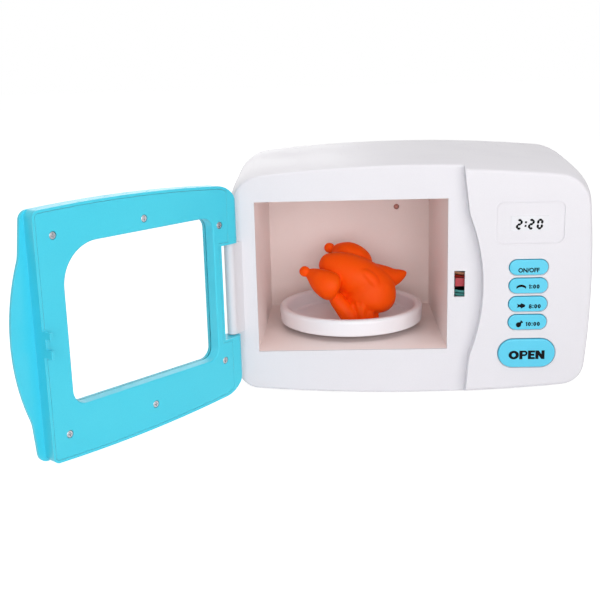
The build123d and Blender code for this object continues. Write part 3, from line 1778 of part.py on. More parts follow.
def make_battery_pieces():
    """Three cells, their contacts and springs, and the cover of the case."""
    bottoms = []
    for index, height in enumerate(cell_heights):
        # Every other cell lies the other way round
        cap_right = index % 2 == 0
        if cap_right:
            plate_face = case_inner_right - contact_thickness
        else:
            plate_face = case_inner_left + contact_thickness
        way = -1 if cap_right else 1
        bottoms.append((plate_face + way * cell_length, height, way))
        with BuildPart() as cell:
            face = side_plane(plate_face + way * cell_cap_height)
            extrude(
                round_at(face, [(cell_depth, height)], cell_radius),
                way * (cell_length - cell_cap_height),
            )
            fillet(cell.faces().filter_by(GeomType.PLANE).edges(), 0.8)
            extrude(
                round_at(face, [(cell_depth, height)], cell_cap_radius), -way * cell_cap_height
            )
        save(cell.part, ["battery_lower", "battery_middle", "battery_upper"][index])
    with BuildPart() as contact_plates:
        groups = [
            (case_inner_right - contact_thickness, cell_heights[0], cell_heights[1], False),
            (case_inner_left, cell_heights[1], cell_heights[2], False),
            (case_inner_left, cell_heights[0], cell_heights[0], True),
            (case_inner_right - contact_thickness, cell_heights[2], cell_heights[2], True),
        ]
        for left, low, high, with_tab in groups:
            extrude(
                box_at(
                    side_plane(left),
                    cell_depth - contact_width / 2,
                    cell_depth + contact_width / 2,
                    low - contact_width / 2,
                    high + contact_width / 2,
                ),
                contact_thickness,
            )
            if with_tab:
                extrude(
                    box_at(
                        side_plane(left),
                        case_bottom - case_wall - tab_reach,
                        cell_depth,
                        low - tab_width / 2,
                        low + tab_width / 2,
                    ),
                    contact_thickness,
                )
    save(contact_plates.part, "contact_plates")
    with BuildPart() as contact_springs:
        for bottom, height, way in bottoms:
            plate = case_inner_left + contact_thickness if way < 0 else case_inner_right - contact_thickness
            low = min(bottom, plate)
            pitch = (abs(bottom - plate) - 2 * spring_wire) / spring_coils
            with BuildLine() as path:
                Helix(
                    pitch=pitch,
                    height=pitch * spring_coils,
                    radius=spring_radius,
                    center=(low + spring_wire - frame_x, cell_depth - frame_depth, height),
                    direction=(1, 0, 0),
                )
            with BuildSketch(Plane(origin=path.line @ 0, z_dir=path.line % 0)):
                Circle(spring_wire)
            sweep(path=path.line, is_frenet=True)
    save(contact_springs.part, "contact_springs")
    with BuildPart() as battery_cover:
        with BuildSketch(face_plane(body_depth)):
            with Locations((case_middle, (case_inner_low + case_inner_high) / 2)):
                Rectangle(
                    case_inner_right - case_inner_left + 2 * (cover_ledge - cover_gap),
                    case_inner_high - case_inner_low + 2 * (cover_ledge - cover_gap),
                )
            with Locations(cover_screw_place):
                Circle(cover_ear_radius)
            with Locations(cover_screw_place):
                Circle(cover_screw_radius, mode=Mode.SUBTRACT)
        extrude(amount=cover_thickness)
        extrude(
            round_at(face_plane(body_depth), [cover_screw_place], cover_head_radius),
            cover_screw_sink,
            mode=Mode.SUBTRACT,
        )
        # Grip grooves
        for index in range(3):
            extrude(
                box_at(
                    face_plane(body_depth),
                    case_middle - 8.0,
                    case_middle + 8.0,
                    case_inner_low + 3.0 + 2.4 * index,
                    case_inner_low + 4.2 + 2.4 * index,
                ),
                0.7,
                mode=Mode.SUBTRACT,
            )
    save(battery_cover.part, "battery_cover")


def make_door():
    """Door: outer shell with its lip and tongue, inner frame, clear pane and pins."""
    collar_top = plate_thickness + collar_depth
    with BuildPart() as door_outer_shell:
        extrude(door_shape(door_thickness - lip_thickness, 0, "lip"), lip_thickness)
        outer_face = door_outer_shell.faces().sort_by(Axis((0, 0, 0), door_plane(0).z_dir))[-1]
        fillet(outer_face.edges(), door_edge_radius)
        extrude(door_shape(0, 0, "rim"), door_thickness - lip_thickness + 0.5)
        # Rounded hinge edge: only what lies inside this profile is kept
        with BuildSketch(door_level_plane(0)) as profile:
            far = 260.0
            low = door_offset - door_thickness
            with Locations((far / 2 - door_hinge_overhang, (door_offset + low) / 2)):
                Rectangle(far, door_thickness)
            left = profile.vertices().group_by(Axis.X)[0].sort_by(Axis.Y)
            fillet(left[0:1], door_outer_round)
            left = profile.vertices().sort_by_distance(Vector(-door_hinge_overhang, door_offset))
            fillet(left[0:1], door_inner_round)
        extrude(amount=body_top + 20, mode=Mode.INTERSECT)
        extrude(
            door_shape(0, door_rim, "pocket"), door_thickness - door_wall, mode=Mode.SUBTRACT
        )
        with BuildSketch(door_plane(-1)):
            with Locations((notch_reach - 30, 0)):
                Rectangle(60, 2 * notch_half)
        extrude(amount=door_thickness + 2, mode=Mode.SUBTRACT)
        posts = round_at(door_plane(plate_thickness), door_screw_places, door_post_radius)
        extrude(posts, door_thickness - door_wall - plate_thickness + 0.3)
        pilots = round_at(door_plane(plate_thickness), door_screw_places, screw_core_radius)
        extrude(
            pilots,
            door_screw_length + screw_head_height + screw_sink_gap - plate_thickness,
            mode=Mode.SUBTRACT,
        )
        extrude(
            window_shape(door_thickness - door_wall - 1, 0), door_wall + 2, mode=Mode.SUBTRACT
        )
        # Running holes for the hinge pins
        for way in (1, -1):
            extrude(
                round_at(
                    level_plane(hinge_height + way * notch_half),
                    [(hinge_x, hinge_depth)],
                    hinge_pin_radius + pin_running_gap,
                ),
                way * (hinge_pin_length - hinge_pin_grip),
                mode=Mode.SUBTRACT,
            )
        # Forked tongue that goes into the catch slot
        with BuildSketch(door_plane(-tongue_length)):
            with Locations((door_reach - door_rim / 2, (tongue_rise - tongue_drop) / 2)):
                Rectangle(door_rim, tongue_rise + tongue_drop)
            with Locations((door_reach - door_rim / 2, (tongue_fork_rise - tongue_fork_drop) / 2)):
                Rectangle(door_rim, tongue_fork_rise + tongue_fork_drop, mode=Mode.SUBTRACT)
        extrude(amount=tongue_length - tongue_fork_start)
        with BuildSketch(door_plane(-tongue_fork_start)):
            with Locations((door_reach - door_rim / 2, (tongue_rise - tongue_drop) / 2)):
                Rectangle(door_rim, tongue_rise + tongue_drop)
        extrude(amount=tongue_fork_start + 1.0)
    save(door_outer_shell.part, "door_outer_shell")
    with BuildPart() as door_inner_frame:
        extrude(door_shape(0, door_rim + plate_gap, "pocket"), plate_thickness)
        extrude(window_shape(plate_thickness, collar_wall), collar_depth)
        extrude(window_shape(-1, 0), collar_top + 2, mode=Mode.SUBTRACT)
        extrude(
            round_at(door_plane(0), door_screw_places, screw_head_radius + screw_sink_gap),
            screw_head_height + screw_sink_gap,
            mode=Mode.SUBTRACT,
        )
        extrude(
            round_at(door_plane(0), door_screw_places, screw_core_radius + screw_hole_gap),
            plate_thickness + 1,
            mode=Mode.SUBTRACT,
        )
        rim = door_inner_frame.edges().filter_by_position(
            Axis(door_plane(0).origin, door_plane(0).z_dir), -0.01, 0.01
        )
        window_rim = [
            edge
            for edge in rim
            if window_shape(0, 0.1).face().is_inside(edge.center())
        ]
        fillet(window_rim, window_edge_radius)
    save(door_inner_frame.part, "door_inner_frame")
    with BuildPart() as window_pane:
        extrude(window_shape(collar_top, pane_overlap), pane_thickness)
    save(window_pane.part, "window_pane")
    with BuildPart() as hinge_pins:
        for way in (1, -1):
            start = hinge_height + way * (knuckle_half_height - hinge_pin_grip)
            extrude(
                round_at(level_plane(start), [(hinge_x, hinge_depth)], hinge_pin_radius),
                way * hinge_pin_length,
            )
    save(hinge_pins.part, "hinge_pins")


def make_lead(name, points, radius):
    """Whole wire along straight runs joined by tangent arcs, with its bend radii printed."""
    places = [Vector(x - frame_x, y - frame_depth, z) for x, y, z in points]
    bends = []
    for before, at, after in zip(places, places[1:], places[2:]):
        run = min((at - before).length, (after - at).length)
        turn = math.radians((at - before).get_angle(after - at))
        bends.append(0.45 * run / math.tan(turn / 2))
    with BuildPart() as lead:
        with BuildLine() as path:
            FilletPolyline(*places, radius=bends)
        with BuildSketch(Plane(origin=path.line @ 0, z_dir=path.line % 0)):
            Circle(radius)
        sweep()
    length = path.wire().length
    share = lead.part.volume / (math.pi * radius**2 * length)
    print(name, "bend radii", [round(bend, 1) for bend in bends])
    print(name, "length", round(length, 1), "volume share", round(share, 4))
    save(lead.part, name)


def make_leads():
    """Wires from the board to the lamp, motor, speaker and batteries."""
    board_row = board_back + lead_radius
    behind = lead_row_depth
    lamp_height = cavity_top - lamp_drop
    lamp_end = lamp_x + lamp_radius
    corner = lead_turn_x
    for name, height, depth in (
        ("lamp_lead_plus", lamp_lead_heights[0], lamp_lead_depths[0]),
        ("lamp_lead_minus", lamp_lead_heights[1], lamp_lead_depths[1]),
    ):
        points = [
            (board_left + 8.0, board_row, height),
            (lever_pivot_x + 4.0, behind, height),
            (corner, behind, height),
            (corner, depth, height),
            (corner, depth, lamp_height),
            (lamp_end, depth, lamp_height),
        ]
        make_lead(name, points, lead_radius)
    motor_end = pinion_x + motor_radius + terminal_reach
    for name, height, depth in (
        ("motor_lead_plus", motor_lead_heights[0], table_depth - terminal_spread),
        ("motor_lead_minus", motor_lead_heights[1], table_depth + terminal_spread),
    ):
        points = [
            (board_left + 8.0, board_row, height),
            (lever_pivot_x + 4.0, behind, height),
            (corner, behind, height),
            (corner, depth, height),
            (corner, depth, terminal_height + 0.25),
            (motor_end, depth, terminal_height + 0.25),
        ]
        make_lead(name, points, lead_radius)
    basket_face = case_mouth - speaker_rim - speaker_cup_depth
    for name, x, low, high, turn_depth in (
        ("speaker_lead_plus", speaker_x + 12.0, 100.0, 121.5, 78.0),
        ("speaker_lead_minus", speaker_x + 9.0, 104.5, 126.0, 84.0),
    ):
        points = [
            (x, board_back, low),
            (x, turn_depth, low),
            (x, turn_depth + 40.0, high),
            (x, basket_face, high),
        ]
        make_lead(name, points, lead_radius)
    tab_end = case_bottom - case_wall - tab_reach
    for name, x, height, end_x, end_height in (
        ("battery_lead_minus", board_left + 12.0, 66.0, case_inner_left, cell_heights[0]),
        ("battery_lead_plus", board_left + 30.0, 69.0, case_inner_right, cell_heights[-1]),
    ):
        points = [
            (x, board_back, height),
            (x, 60.0, height),
            (end_x, 110.0, end_height),
            (end_x, tab_end, end_height),
        ]
        make_lead(name, points, lead_radius)


os.makedirs("parts", exist_ok=True)
housing_skin = make_skin()
housing_hollow = make_hollow()
make_front_housing(housing_skin, housing_hollow)
make_rear_housing(housing_skin, housing_hollow)
make_feet()
make_screws()
make_liner()
make_lamp()
make_turntable()
make_gears()
make_gearbox()
make_roast()
make_panel_pieces()
make_springs()
make_latch()
make_board()
make_speaker()
make_battery_pieces()
make_door()
make_leads()
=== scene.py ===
import math

import bpy
import numpy as np
from mathutils import Matrix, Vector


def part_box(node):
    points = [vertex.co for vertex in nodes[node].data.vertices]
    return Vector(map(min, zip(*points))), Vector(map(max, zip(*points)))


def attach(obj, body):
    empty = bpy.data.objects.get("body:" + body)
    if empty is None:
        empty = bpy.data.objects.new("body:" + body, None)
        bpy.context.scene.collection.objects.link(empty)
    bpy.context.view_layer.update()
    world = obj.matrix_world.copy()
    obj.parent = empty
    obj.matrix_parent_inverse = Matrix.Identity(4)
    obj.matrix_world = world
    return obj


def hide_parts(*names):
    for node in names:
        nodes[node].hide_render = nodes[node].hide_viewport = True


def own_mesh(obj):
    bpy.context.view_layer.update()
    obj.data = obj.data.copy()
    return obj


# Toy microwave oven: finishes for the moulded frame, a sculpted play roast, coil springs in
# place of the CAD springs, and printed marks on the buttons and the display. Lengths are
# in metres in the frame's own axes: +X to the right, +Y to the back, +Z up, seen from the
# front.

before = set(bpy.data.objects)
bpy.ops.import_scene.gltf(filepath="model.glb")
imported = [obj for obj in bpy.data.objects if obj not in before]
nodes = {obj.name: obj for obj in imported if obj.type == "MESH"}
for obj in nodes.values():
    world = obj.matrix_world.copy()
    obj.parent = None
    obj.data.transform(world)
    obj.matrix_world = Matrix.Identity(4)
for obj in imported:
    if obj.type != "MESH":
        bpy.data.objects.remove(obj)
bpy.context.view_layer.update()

MM = 0.001

# Place of the housing's own measures in the frame: its left edge and its panel face
BODY_LEFT = -77.142 * MM
PANEL_FACE = -15.748 * MM


def at(x, depth, height):
    """Point of the frame for a place measured on the housing in millimetres."""
    return (BODY_LEFT + x * MM, PANEL_FACE + depth * MM, height * MM)


# Shader helpers

def shade(red, green, blue):
    """Linear colour for a colour written in bytes: the sRGB curve undone."""
    channels = np.array([red, green, blue]) / 255.0
    linear = np.where(channels <= 0.04045, channels / 12.92, ((channels + 0.055) / 1.055) ** 2.4)
    return (*linear.tolist(), 1.0)


def put(tree, kind, **settings):
    """New shader node with its sockets and properties set by name."""
    made = tree.nodes.new("ShaderNode" + kind)
    for name, value in settings.items():
        if hasattr(made, name):
            setattr(made, name, value)
        else:
            made.inputs[name.replace("_", " ")].default_value = value
    return made


def join(tree, source, target):
    """Link from an output socket to an input socket."""
    tree.links.new(source, target)


def math_node(tree, operation, first, second):
    """Arithmetic on two values, each of them a socket or a number."""
    made = tree.nodes.new("ShaderNodeMath")
    made.operation = operation
    for socket, value in zip(made.inputs, (first, second)):
        if isinstance(value, (int, float)):
            socket.default_value = value
        else:
            join(tree, value, socket)
    return made.outputs[0]


def blend_colours(tree, share, first, second):
    """Colour between two others, by a share from 0 to 1."""
    made = tree.nodes.new("ShaderNodeMix")
    made.data_type = "RGBA"
    for number, value in ((0, share), (6, first), (7, second)):
        socket = made.inputs[number]
        if isinstance(value, (int, float, tuple)):
            socket.default_value = value
        else:
            join(tree, value, socket)
    return made.outputs[2]


def between(tree, value, low, high, new_low, new_high):
    """Value stretched from one range to another and held inside it."""
    made = tree.nodes.new("ShaderNodeMapRange")
    for socket, setting in zip(made.inputs[1:5], (low, high, new_low, new_high)):
        socket.default_value = setting
    join(tree, value, made.inputs[0])
    return made.outputs[0]


def new_group(name, inputs, outputs):
    """Empty shader node group with named sockets: (tree, inputs by name, outputs by name)."""
    tree = bpy.data.node_groups.new(name, "ShaderNodeTree")
    for label, kind, value in inputs:
        socket = tree.interface.new_socket(name=label, in_out="INPUT", socket_type=kind)
        if value is not None:
            socket.default_value = value
    for label, kind in outputs:
        tree.interface.new_socket(name=label, in_out="OUTPUT", socket_type=kind)
    entry = tree.nodes.new("NodeGroupInput")
    leave = tree.nodes.new("NodeGroupOutput")
    return tree, entry.outputs, leave.inputs


def moulded_skin_group():
    """Skin of a moulded plastic: a fine grain, slow waves in the surface and cloudy tone."""
    tree, given, result = new_group(
        "Moulded Skin",
        [
            ("Place", "NodeSocketVector", None),
            ("Grain Size", "NodeSocketFloat", 1800.0),
            ("Wave Size", "NodeSocketFloat", 60.0),
            ("Wave Share", "NodeSocketFloat", 0.6),
        ],
        [("Height", "NodeSocketFloat"), ("Tone", "NodeSocketFloat")],
    )
    grain = put(tree, "TexNoise", Detail=2.0, Roughness=0.6)
    join(tree, given["Place"], grain.inputs["Vector"])
    join(tree, given["Grain Size"], grain.inputs["Scale"])
    wave = put(tree, "TexNoise", Detail=1.0, Roughness=0.4)
    join(tree, given["Place"], wave.inputs["Vector"])
    join(tree, given["Wave Size"], wave.inputs["Scale"])
    cloud = put(tree, "TexNoise", Scale=9.0, Detail=3.0, Roughness=0.55)
    join(tree, given["Place"], cloud.inputs["Vector"])
    waves = math_node(tree, "MULTIPLY", wave.outputs["Fac"], given["Wave Share"])
    join(tree, math_node(tree, "ADD", grain.outputs["Fac"], waves), result["Height"])
    mixed = math_node(tree, "ADD", cloud.outputs["Fac"], grain.outputs["Fac"])
    join(tree, between(tree, mixed, 0.7, 1.3, 0.0, 1.0), result["Tone"])
    return tree


def handling_group():
    """Marks of use: hair scratches two ways and soft smudges, each as a mask."""
    tree, given, result = new_group(
        "Handling Marks",
        [("Place", "NodeSocketVector", None), ("Scratch Size", "NodeSocketFloat", 45.0)],
        [("Scratch", "NodeSocketFloat"), ("Smudge", "NodeSocketFloat")],
    )
    masks = []
    for turn, squeeze in ((0.5, (1.0, 14.0, 11.0)), (2.1, (13.0, 1.0, 12.0))):
        turned = put(tree, "Mapping")
        turned.inputs["Rotation"].default_value = (0.3, turn, turn)
        turned.inputs["Scale"].default_value = squeeze
        join(tree, given["Place"], turned.inputs["Vector"])
        streak = put(tree, "TexNoise", Detail=1.0)
        join(tree, turned.outputs[0], streak.inputs["Vector"])
        join(tree, given["Scratch Size"], streak.inputs["Scale"])
        masks.append(between(tree, streak.outputs["Fac"], 0.68, 0.73, 0.0, 1.0))
    join(tree, math_node(tree, "MAXIMUM", masks[0], masks[1]), result["Scratch"])
    smear = put(tree, "TexNoise", Scale=26.0, Detail=4.0, Distortion=0.6)
    join(tree, given["Place"], smear.inputs["Vector"])
    join(tree, between(tree, smear.outputs["Fac"], 0.45, 0.75, 0.0, 1.0), result["Smudge"])
    return tree


def rubbed_edge_group():
    """Mask of sharp edges: where the normal turns away from its own rounded copy."""
    tree, given, result = new_group(
        "Rubbed Edge",
        [("Place", "NodeSocketVector", None), ("Width", "NodeSocketFloat", 0.0006)],
        [("Mask", "NodeSocketFloat")],
    )
    rounded = put(tree, "Bevel", samples=4)
    join(tree, given["Width"], rounded.inputs["Radius"])
    plain = put(tree, "NewGeometry")
    both = put(tree, "VectorMath", operation="DOT_PRODUCT")
    join(tree, rounded.outputs[0], both.inputs[0])
    join(tree, plain.outputs["Normal"], both.inputs[1])
    patchy = put(tree, "TexNoise", Scale=140.0, Detail=2.0)
    join(tree, given["Place"], patchy.inputs["Vector"])
    edge = between(tree, both.outputs["Value"], 0.98, 0.80, 0.0, 1.0)
    worn = between(tree, patchy.outputs["Fac"], 0.35, 0.65, 0.3, 1.0)
    join(tree, math_node(tree, "MULTIPLY", edge, worn), result["Mask"])
    return tree


SKIN = moulded_skin_group()
MARKS = handling_group()
EDGE = rubbed_edge_group()


def new_material(name):
    """Empty material with a Principled shader: (material, tree, shader, object place)."""
    made = bpy.data.materials.new(name)
    made.use_nodes = True
    tree = made.node_tree
    shader = tree.nodes["Principled BSDF"]
    place = tree.nodes.new("ShaderNodeTexCoord").outputs["Object"]
    return made, tree, shader, place


def use_group(tree, group, place, **values):
    """Group placed in a material, with its own values."""
    made = tree.nodes.new("ShaderNodeGroup")
    made.node_tree = group
    join(tree, place, made.inputs["Place"])
    for name, value in values.items():
        made.inputs[name.replace("_", " ")].default_value = value
    return made.outputs


def add_bump(tree, shader, height, strength, distance):
    """Bump from a height, into the shader's normal."""
    bump = put(tree, "Bump", Strength=strength, Distance=distance)
    join(tree, height, bump.inputs["Height"])
    join(tree, bump.outputs[0], shader.inputs["Normal"])


def vary_colour(tree, shader, share, first, second):
    """Base colour between two others, by a share that changes over the surface."""
    join(tree, blend_colours(tree, share, first, second), shader.inputs["Base Color"])


def vary_roughness(tree, shader, share, low, high):
    """Roughness between two values, by a share that changes over the surface."""
    join(tree, between(tree, share, 0.0, 1.0, low, high), shader.inputs["Roughness"])


# Wear that all moulded finishes have in common, and how deep light goes into a soft one
RUBBED_SHARE = 0.6
SMUDGE_ROUGHNESS = 0.10
SCRATCH_ROUGHNESS = 0.12
SOFT_REACH = 0.003

# Wear of bare metal, and how much finer its grain is than its scratches
TARNISH_ROUGHNESS = 0.15
GRAIN_PER_STREAK = 6


def moulded(name, colour, cloud, edge, roughness, grain=1800.0, depth=0.00002,
            shine=0.5, soft=0.0, scatter=(1.0, 1.0, 1.0)):
    """Moulded plastic: clouded colour, brighter rubbed edges, smudges, scratches and grain.
    The three colours are in bytes."""
    made, tree, shader, place = new_material(name)
    skin = use_group(tree, SKIN, place, Grain_Size=grain)
    marks = use_group(tree, MARKS, place)
    rubbed = use_group(tree, EDGE, place)
    tone = blend_colours(tree, skin["Tone"], shade(*colour), shade(*cloud))
    worn = math_node(tree, "MULTIPLY", rubbed["Mask"], RUBBED_SHARE)
    vary_colour(tree, shader, worn, tone, shade(*edge))
    smudged = math_node(tree, "MULTIPLY", marks["Smudge"], SMUDGE_ROUGHNESS)
    scratched = math_node(tree, "MULTIPLY", marks["Scratch"], SCRATCH_ROUGHNESS)
    rough = math_node(tree, "ADD", math_node(tree, "ADD", smudged, scratched), roughness)
    join(tree, rough, shader.inputs["Roughness"])
    add_bump(tree, shader, skin["Height"], 0.5, depth)
    shader.inputs["Specular IOR Level"].default_value = shine
    shader.inputs["Subsurface Weight"].default_value = soft
    shader.inputs["Subsurface Radius"].default_value = scatter
    shader.inputs["Subsurface Scale"].default_value = SOFT_REACH
    return made


def machined(name, colour, dark, roughness, streaks=400.0):
    """Bare metal: a fine grain, tarnish in patches and bright scratches. The two colours are
    in bytes."""
    made, tree, shader, place = new_material(name)
    skin = use_group(tree, SKIN, place, Grain_Size=streaks * GRAIN_PER_STREAK)
    marks = use_group(tree, MARKS, place, Scratch_Size=streaks)
    bright = shade(*colour)
    tarnish = blend_colours(tree, skin["Tone"], bright, shade(*dark))
    vary_colour(tree, shader, marks["Scratch"], tarnish, bright)
    smudged = math_node(tree, "MULTIPLY", marks["Smudge"], TARNISH_ROUGHNESS)
    join(tree, math_node(tree, "ADD", smudged, roughness), shader.inputs["Roughness"])
    shader.inputs["Metallic"].default_value = 1.0
    add_bump(tree, shader, skin["Height"], 0.4, 0.00001)
    return made


def dress(names, material):
    """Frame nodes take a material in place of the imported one."""
    for name in names:
        slots = nodes[name].data.materials
        slots.clear()
        slots.append(material)


# Finishes

white = moulded("White Housing", (225, 222, 227), (221, 218, 223), (240, 238, 242), 0.36)
oven_wall = moulded("Oven Wall", (253, 238, 235), (249, 232, 228), (254, 246, 244), 0.38)
dish_white = moulded("Dish White", (242, 240, 244), (238, 235, 240), (250, 249, 250), 0.32)
blue = moulded("Sky Blue", (69, 209, 231), (59, 200, 226), (134, 227, 241), 0.32)
button_blue = moulded("Button Blue", (90, 204, 232), (82, 196, 227), (146, 224, 242), 0.3)
grey = moulded("Gearbox Grey", (150, 152, 156), (138, 140, 145), (178, 180, 184), 0.42)
gear_white = moulded("Gear Natural", (226, 221, 206), (216, 210, 194), (240, 236, 226), 0.38)
black = moulded("Switch Black", (34, 34, 37), (27, 27, 30), (66, 66, 70), 0.38)
red = moulded("Lever Crimson", (172, 34, 52), (176, 42, 56), (214, 104, 112), 0.34)
rubber = moulded("Foot Rubber", (196, 196, 200), (182, 182, 187), (214, 214, 217), 0.72,
                 grain=900.0, depth=0.00006)
roast_orange = moulded("Roast Vinyl", (255, 94, 0), (255, 80, 0), (255, 132, 30), 0.5,
                       grain=1400.0, shine=0.14, soft=0.35, scatter=(1.0, 0.3, 0.05))
steel = machined("Screw Steel", (198, 200, 204), (150, 152, 158), 0.24)
spring_steel = machined("Spring Steel", (186, 188, 190), (132, 134, 138), 0.28)
motor_steel = machined("Motor Can", (190, 190, 188), (150, 149, 146), 0.34)


def lead_cover(name, colour, dark):
    """Soft cover of a wire. The two colours are in bytes."""
    return moulded(name, colour, dark, colour, 0.46, grain=2600.0)


# The orange, red and teal leads show in shade inside the latch slot. Their colours are lightened
# past the real covers' colours as painted light, standing in for light that does not reach in
# there.
lightened_lead_orange = lead_cover("Lead Orange", (255, 188, 150), (248, 172, 130))
lightened_lead_red = lead_cover("Lead Red", (214, 50, 36), (198, 38, 28))
lightened_lead_teal = lead_cover("Lead Teal", (120, 224, 220), (96, 206, 202))
lead_yellow = lead_cover("Lead Yellow", (228, 196, 62), (214, 180, 48))
lead_black = lead_cover("Lead Black", (36, 36, 38), (28, 28, 30))


def label_film():
    """Display film: a silvery grey print with fine dots in rows, slightly glossy."""
    made, tree, shader, place = new_material("Display Film")
    dots = put(tree, "TexVoronoi", Scale=1500.0, Randomness=0.0)
    join(tree, place, dots.inputs["Vector"])
    speck = between(tree, dots.outputs["Distance"], 0.15, 0.45, 1.0, 0.0)
    skin = use_group(tree, SKIN, place)
    tone = blend_colours(tree, skin["Tone"], shade(229, 228, 232), shade(222, 221, 226))
    faint_speck = math_node(tree, "MULTIPLY", speck, 0.6)
    vary_colour(tree, shader, faint_speck, tone, shade(188, 187, 195))
    marks = use_group(tree, MARKS, place)
    vary_roughness(tree, shader, marks["Smudge"], 0.18, 0.34)
    return made


def clear_film():
    """Clear window: colourless stiff film with faint hair scratches and haze."""
    made, tree, shader, place = new_material("Clear Window")
    marks = use_group(tree, MARKS, place, Scratch_Size=30.0)
    shader.inputs["Base Color"].default_value = (1.0, 1.0, 1.0, 1.0)
    shader.inputs["Transmission Weight"].default_value = 1.0
    shader.inputs["IOR"].default_value = 1.45
    haze = math_node(tree, "MULTIPLY", marks["Scratch"], 0.10)
    smear = math_node(tree, "MULTIPLY", marks["Smudge"], 0.02)
    join(tree, math_node(tree, "ADD", haze, smear), shader.inputs["Roughness"])
    skin = use_group(tree, SKIN, place, Grain_Size=300.0)
    add_bump(tree, shader, skin["Height"], 0.1, 0.00001)
    return made


def lamp_lens():
    """Lamp lens: tinted translucent resin, clouded inside."""
    made, tree, shader, place = new_material("Lamp Lens")
    skin = use_group(tree, SKIN, place, Grain_Size=500.0)
    vary_colour(tree, shader, skin["Tone"], shade(222, 158, 146), shade(206, 140, 128))
    vary_roughness(tree, shader, skin["Tone"], 0.12, 0.2)
    shader.inputs["Transmission Weight"].default_value = 0.08
    return made


def board_paper():
    """Circuit board: resin paper with pale tracks under a lacquer."""
    made, tree, shader, place = new_material("Board Laminate")
    tracks = put(tree, "TexBrick", Scale=230.0)
    tracks.inputs["Color1"].default_value = shade(196, 148, 84)
    tracks.inputs["Color2"].default_value = shade(188, 138, 76)
    tracks.inputs["Mortar"].default_value = shade(118, 112, 60)
    tracks.inputs["Mortar Size"].default_value = 0.05
    turned = put(tree, "Mapping")
    turned.inputs["Rotation"].default_value = (math.pi / 2, 0.0, 0.0)
    join(tree, place, turned.inputs["Vector"])
    join(tree, turned.outputs[0], tracks.inputs["Vector"])
    join(tree, tracks.outputs["Color"], shader.inputs["Base Color"])
    skin = use_group(tree, SKIN, place)
    vary_roughness(tree, shader, skin["Tone"], 0.35, 0.5)
    add_bump(tree, shader, tracks.outputs["Fac"], 0.3, 0.00005)
    return made


def cell_wrap():
    """Cell sleeve: plain glossy film, dark with a pale band at one end."""
    made, tree, shader, place = new_material("Cell Sleeve")
    apart = put(tree, "SeparateXYZ")
    join(tree, place, apart.inputs[0])
    band_start, band_edge = 0.145, 0.0005
    band = between(tree, apart.outputs["X"], band_start, band_start + band_edge, 0.0, 1.0)
    skin = use_group(tree, SKIN, place)
    dark = blend_colours(tree, skin["Tone"], shade(40, 44, 52), shade(32, 36, 43))
    vary_colour(tree, shader, band, dark, shade(186, 150, 92))
    vary_roughness(tree, shader, skin["Tone"], 0.22, 0.32)
    return made


def cone_paper():
    """Speaker cone: dark pressed paper with fibres."""
    made, tree, shader, place = new_material("Cone Paper")
    fibre = put(tree, "TexNoise", Scale=900.0, Detail=6.0, Distortion=1.5)
    join(tree, place, fibre.inputs["Vector"])
    vary_colour(tree, shader, fibre.outputs["Fac"], shade(36, 35, 36), shade(74, 72, 70))
    vary_roughness(tree, shader, fibre.outputs["Fac"], 0.75, 0.95)
    add_bump(tree, shader, fibre.outputs["Fac"], 0.6, 0.0001)
    return made


dress(["front_housing", "rear_housing", "battery_cover"], white)
dress(["cavity_liner", "open_button_guide"], oven_wall)
dress(["turntable"], dish_white)
dress(["door_outer_shell", "door_inner_frame"], blue)
dress(["power_button", "time_upper_button", "time_middle_button", "time_lower_button",
       "open_button"], button_blue)
dress(["gearbox_base", "gearbox_lid"], grey)
dress(["output_gear", "compound_gear", "motor_pinion"], gear_white)
dress(["tact_switches", "power_plunger", "time_upper_plunger", "time_middle_plunger",
       "time_lower_plunger", "chip_seal"], black)
dress(["latch_lever"], red)
dress(["feet"], rubber)
dress(["hinge_pins", "housing_screws", "inner_screws", "motor_screws", "door_screws",
       "battery_cover_screw", "lever_washer", "motor_shaft", "gear_axle"], steel)
dress(["open_button_spring", "latch_spring", "contact_springs", "contact_plates"], spring_steel)
dress(["drive_motor", "speaker_basket"], motor_steel)
dress(["led_lamp"], lamp_lens())
dress(["display_label"], label_film())
dress(["window_pane"], clear_film())
dress(["circuit_board"], board_paper())
dress(["speaker_cone"], cone_paper())
dress(["battery_lower", "battery_middle", "battery_upper"], cell_wrap())
dress(["lamp_lead_plus"], lightened_lead_orange)
dress(["lamp_lead_minus", "battery_lead_plus"], lightened_lead_red)
dress(["motor_lead_plus", "motor_lead_minus"], lightened_lead_teal)
dress(["speaker_lead_plus", "speaker_lead_minus"], lead_yellow)
dress(["battery_lead_minus"], lead_black)


# Pieces

def add_object(name, data):
    """Object of the scene that shows a mesh, curve, camera or lamp."""
    made = bpy.data.objects.new(name, data)
    bpy.context.scene.collection.objects.link(made)
    return made


def finished_mesh(made):
    """Mesh of an object as its modifiers or its curve settings leave it."""
    evaluated = made.evaluated_get(bpy.context.evaluated_depsgraph_get())
    return bpy.data.meshes.new_from_object(evaluated)


def vertex_places(mesh):
    """Places of a mesh's vertices, a row for each."""
    places = np.empty(len(mesh.vertices) * 3, np.float32)
    mesh.vertices.foreach_get("co", places)
    return places.reshape(-1, 3)


def tube_faces(rings, around):
    """Faces of a closed tube: four corners between neighbouring rings, and a cap at each end."""
    step = np.arange(rings - 1)[:, None] * around
    side = np.arange(around)
    after = (side + 1) % around
    quads = np.stack([step + side, step + after, step + around + after, step + around + side], -1)
    caps = [side[::-1].tolist(), (side + (rings - 1) * around).tolist()]
    return quads.reshape(-1, 4).tolist() + caps


def new_piece(name, verts, faces, material, body):
    """Mesh piece of the object, riding on a body and finished as a slot of the record."""
    mesh = bpy.data.meshes.new(name)
    mesh.from_pydata(verts, [], faces)
    mesh.materials.append(material)
    made = add_object(name, mesh)
    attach(made, body)
    return made


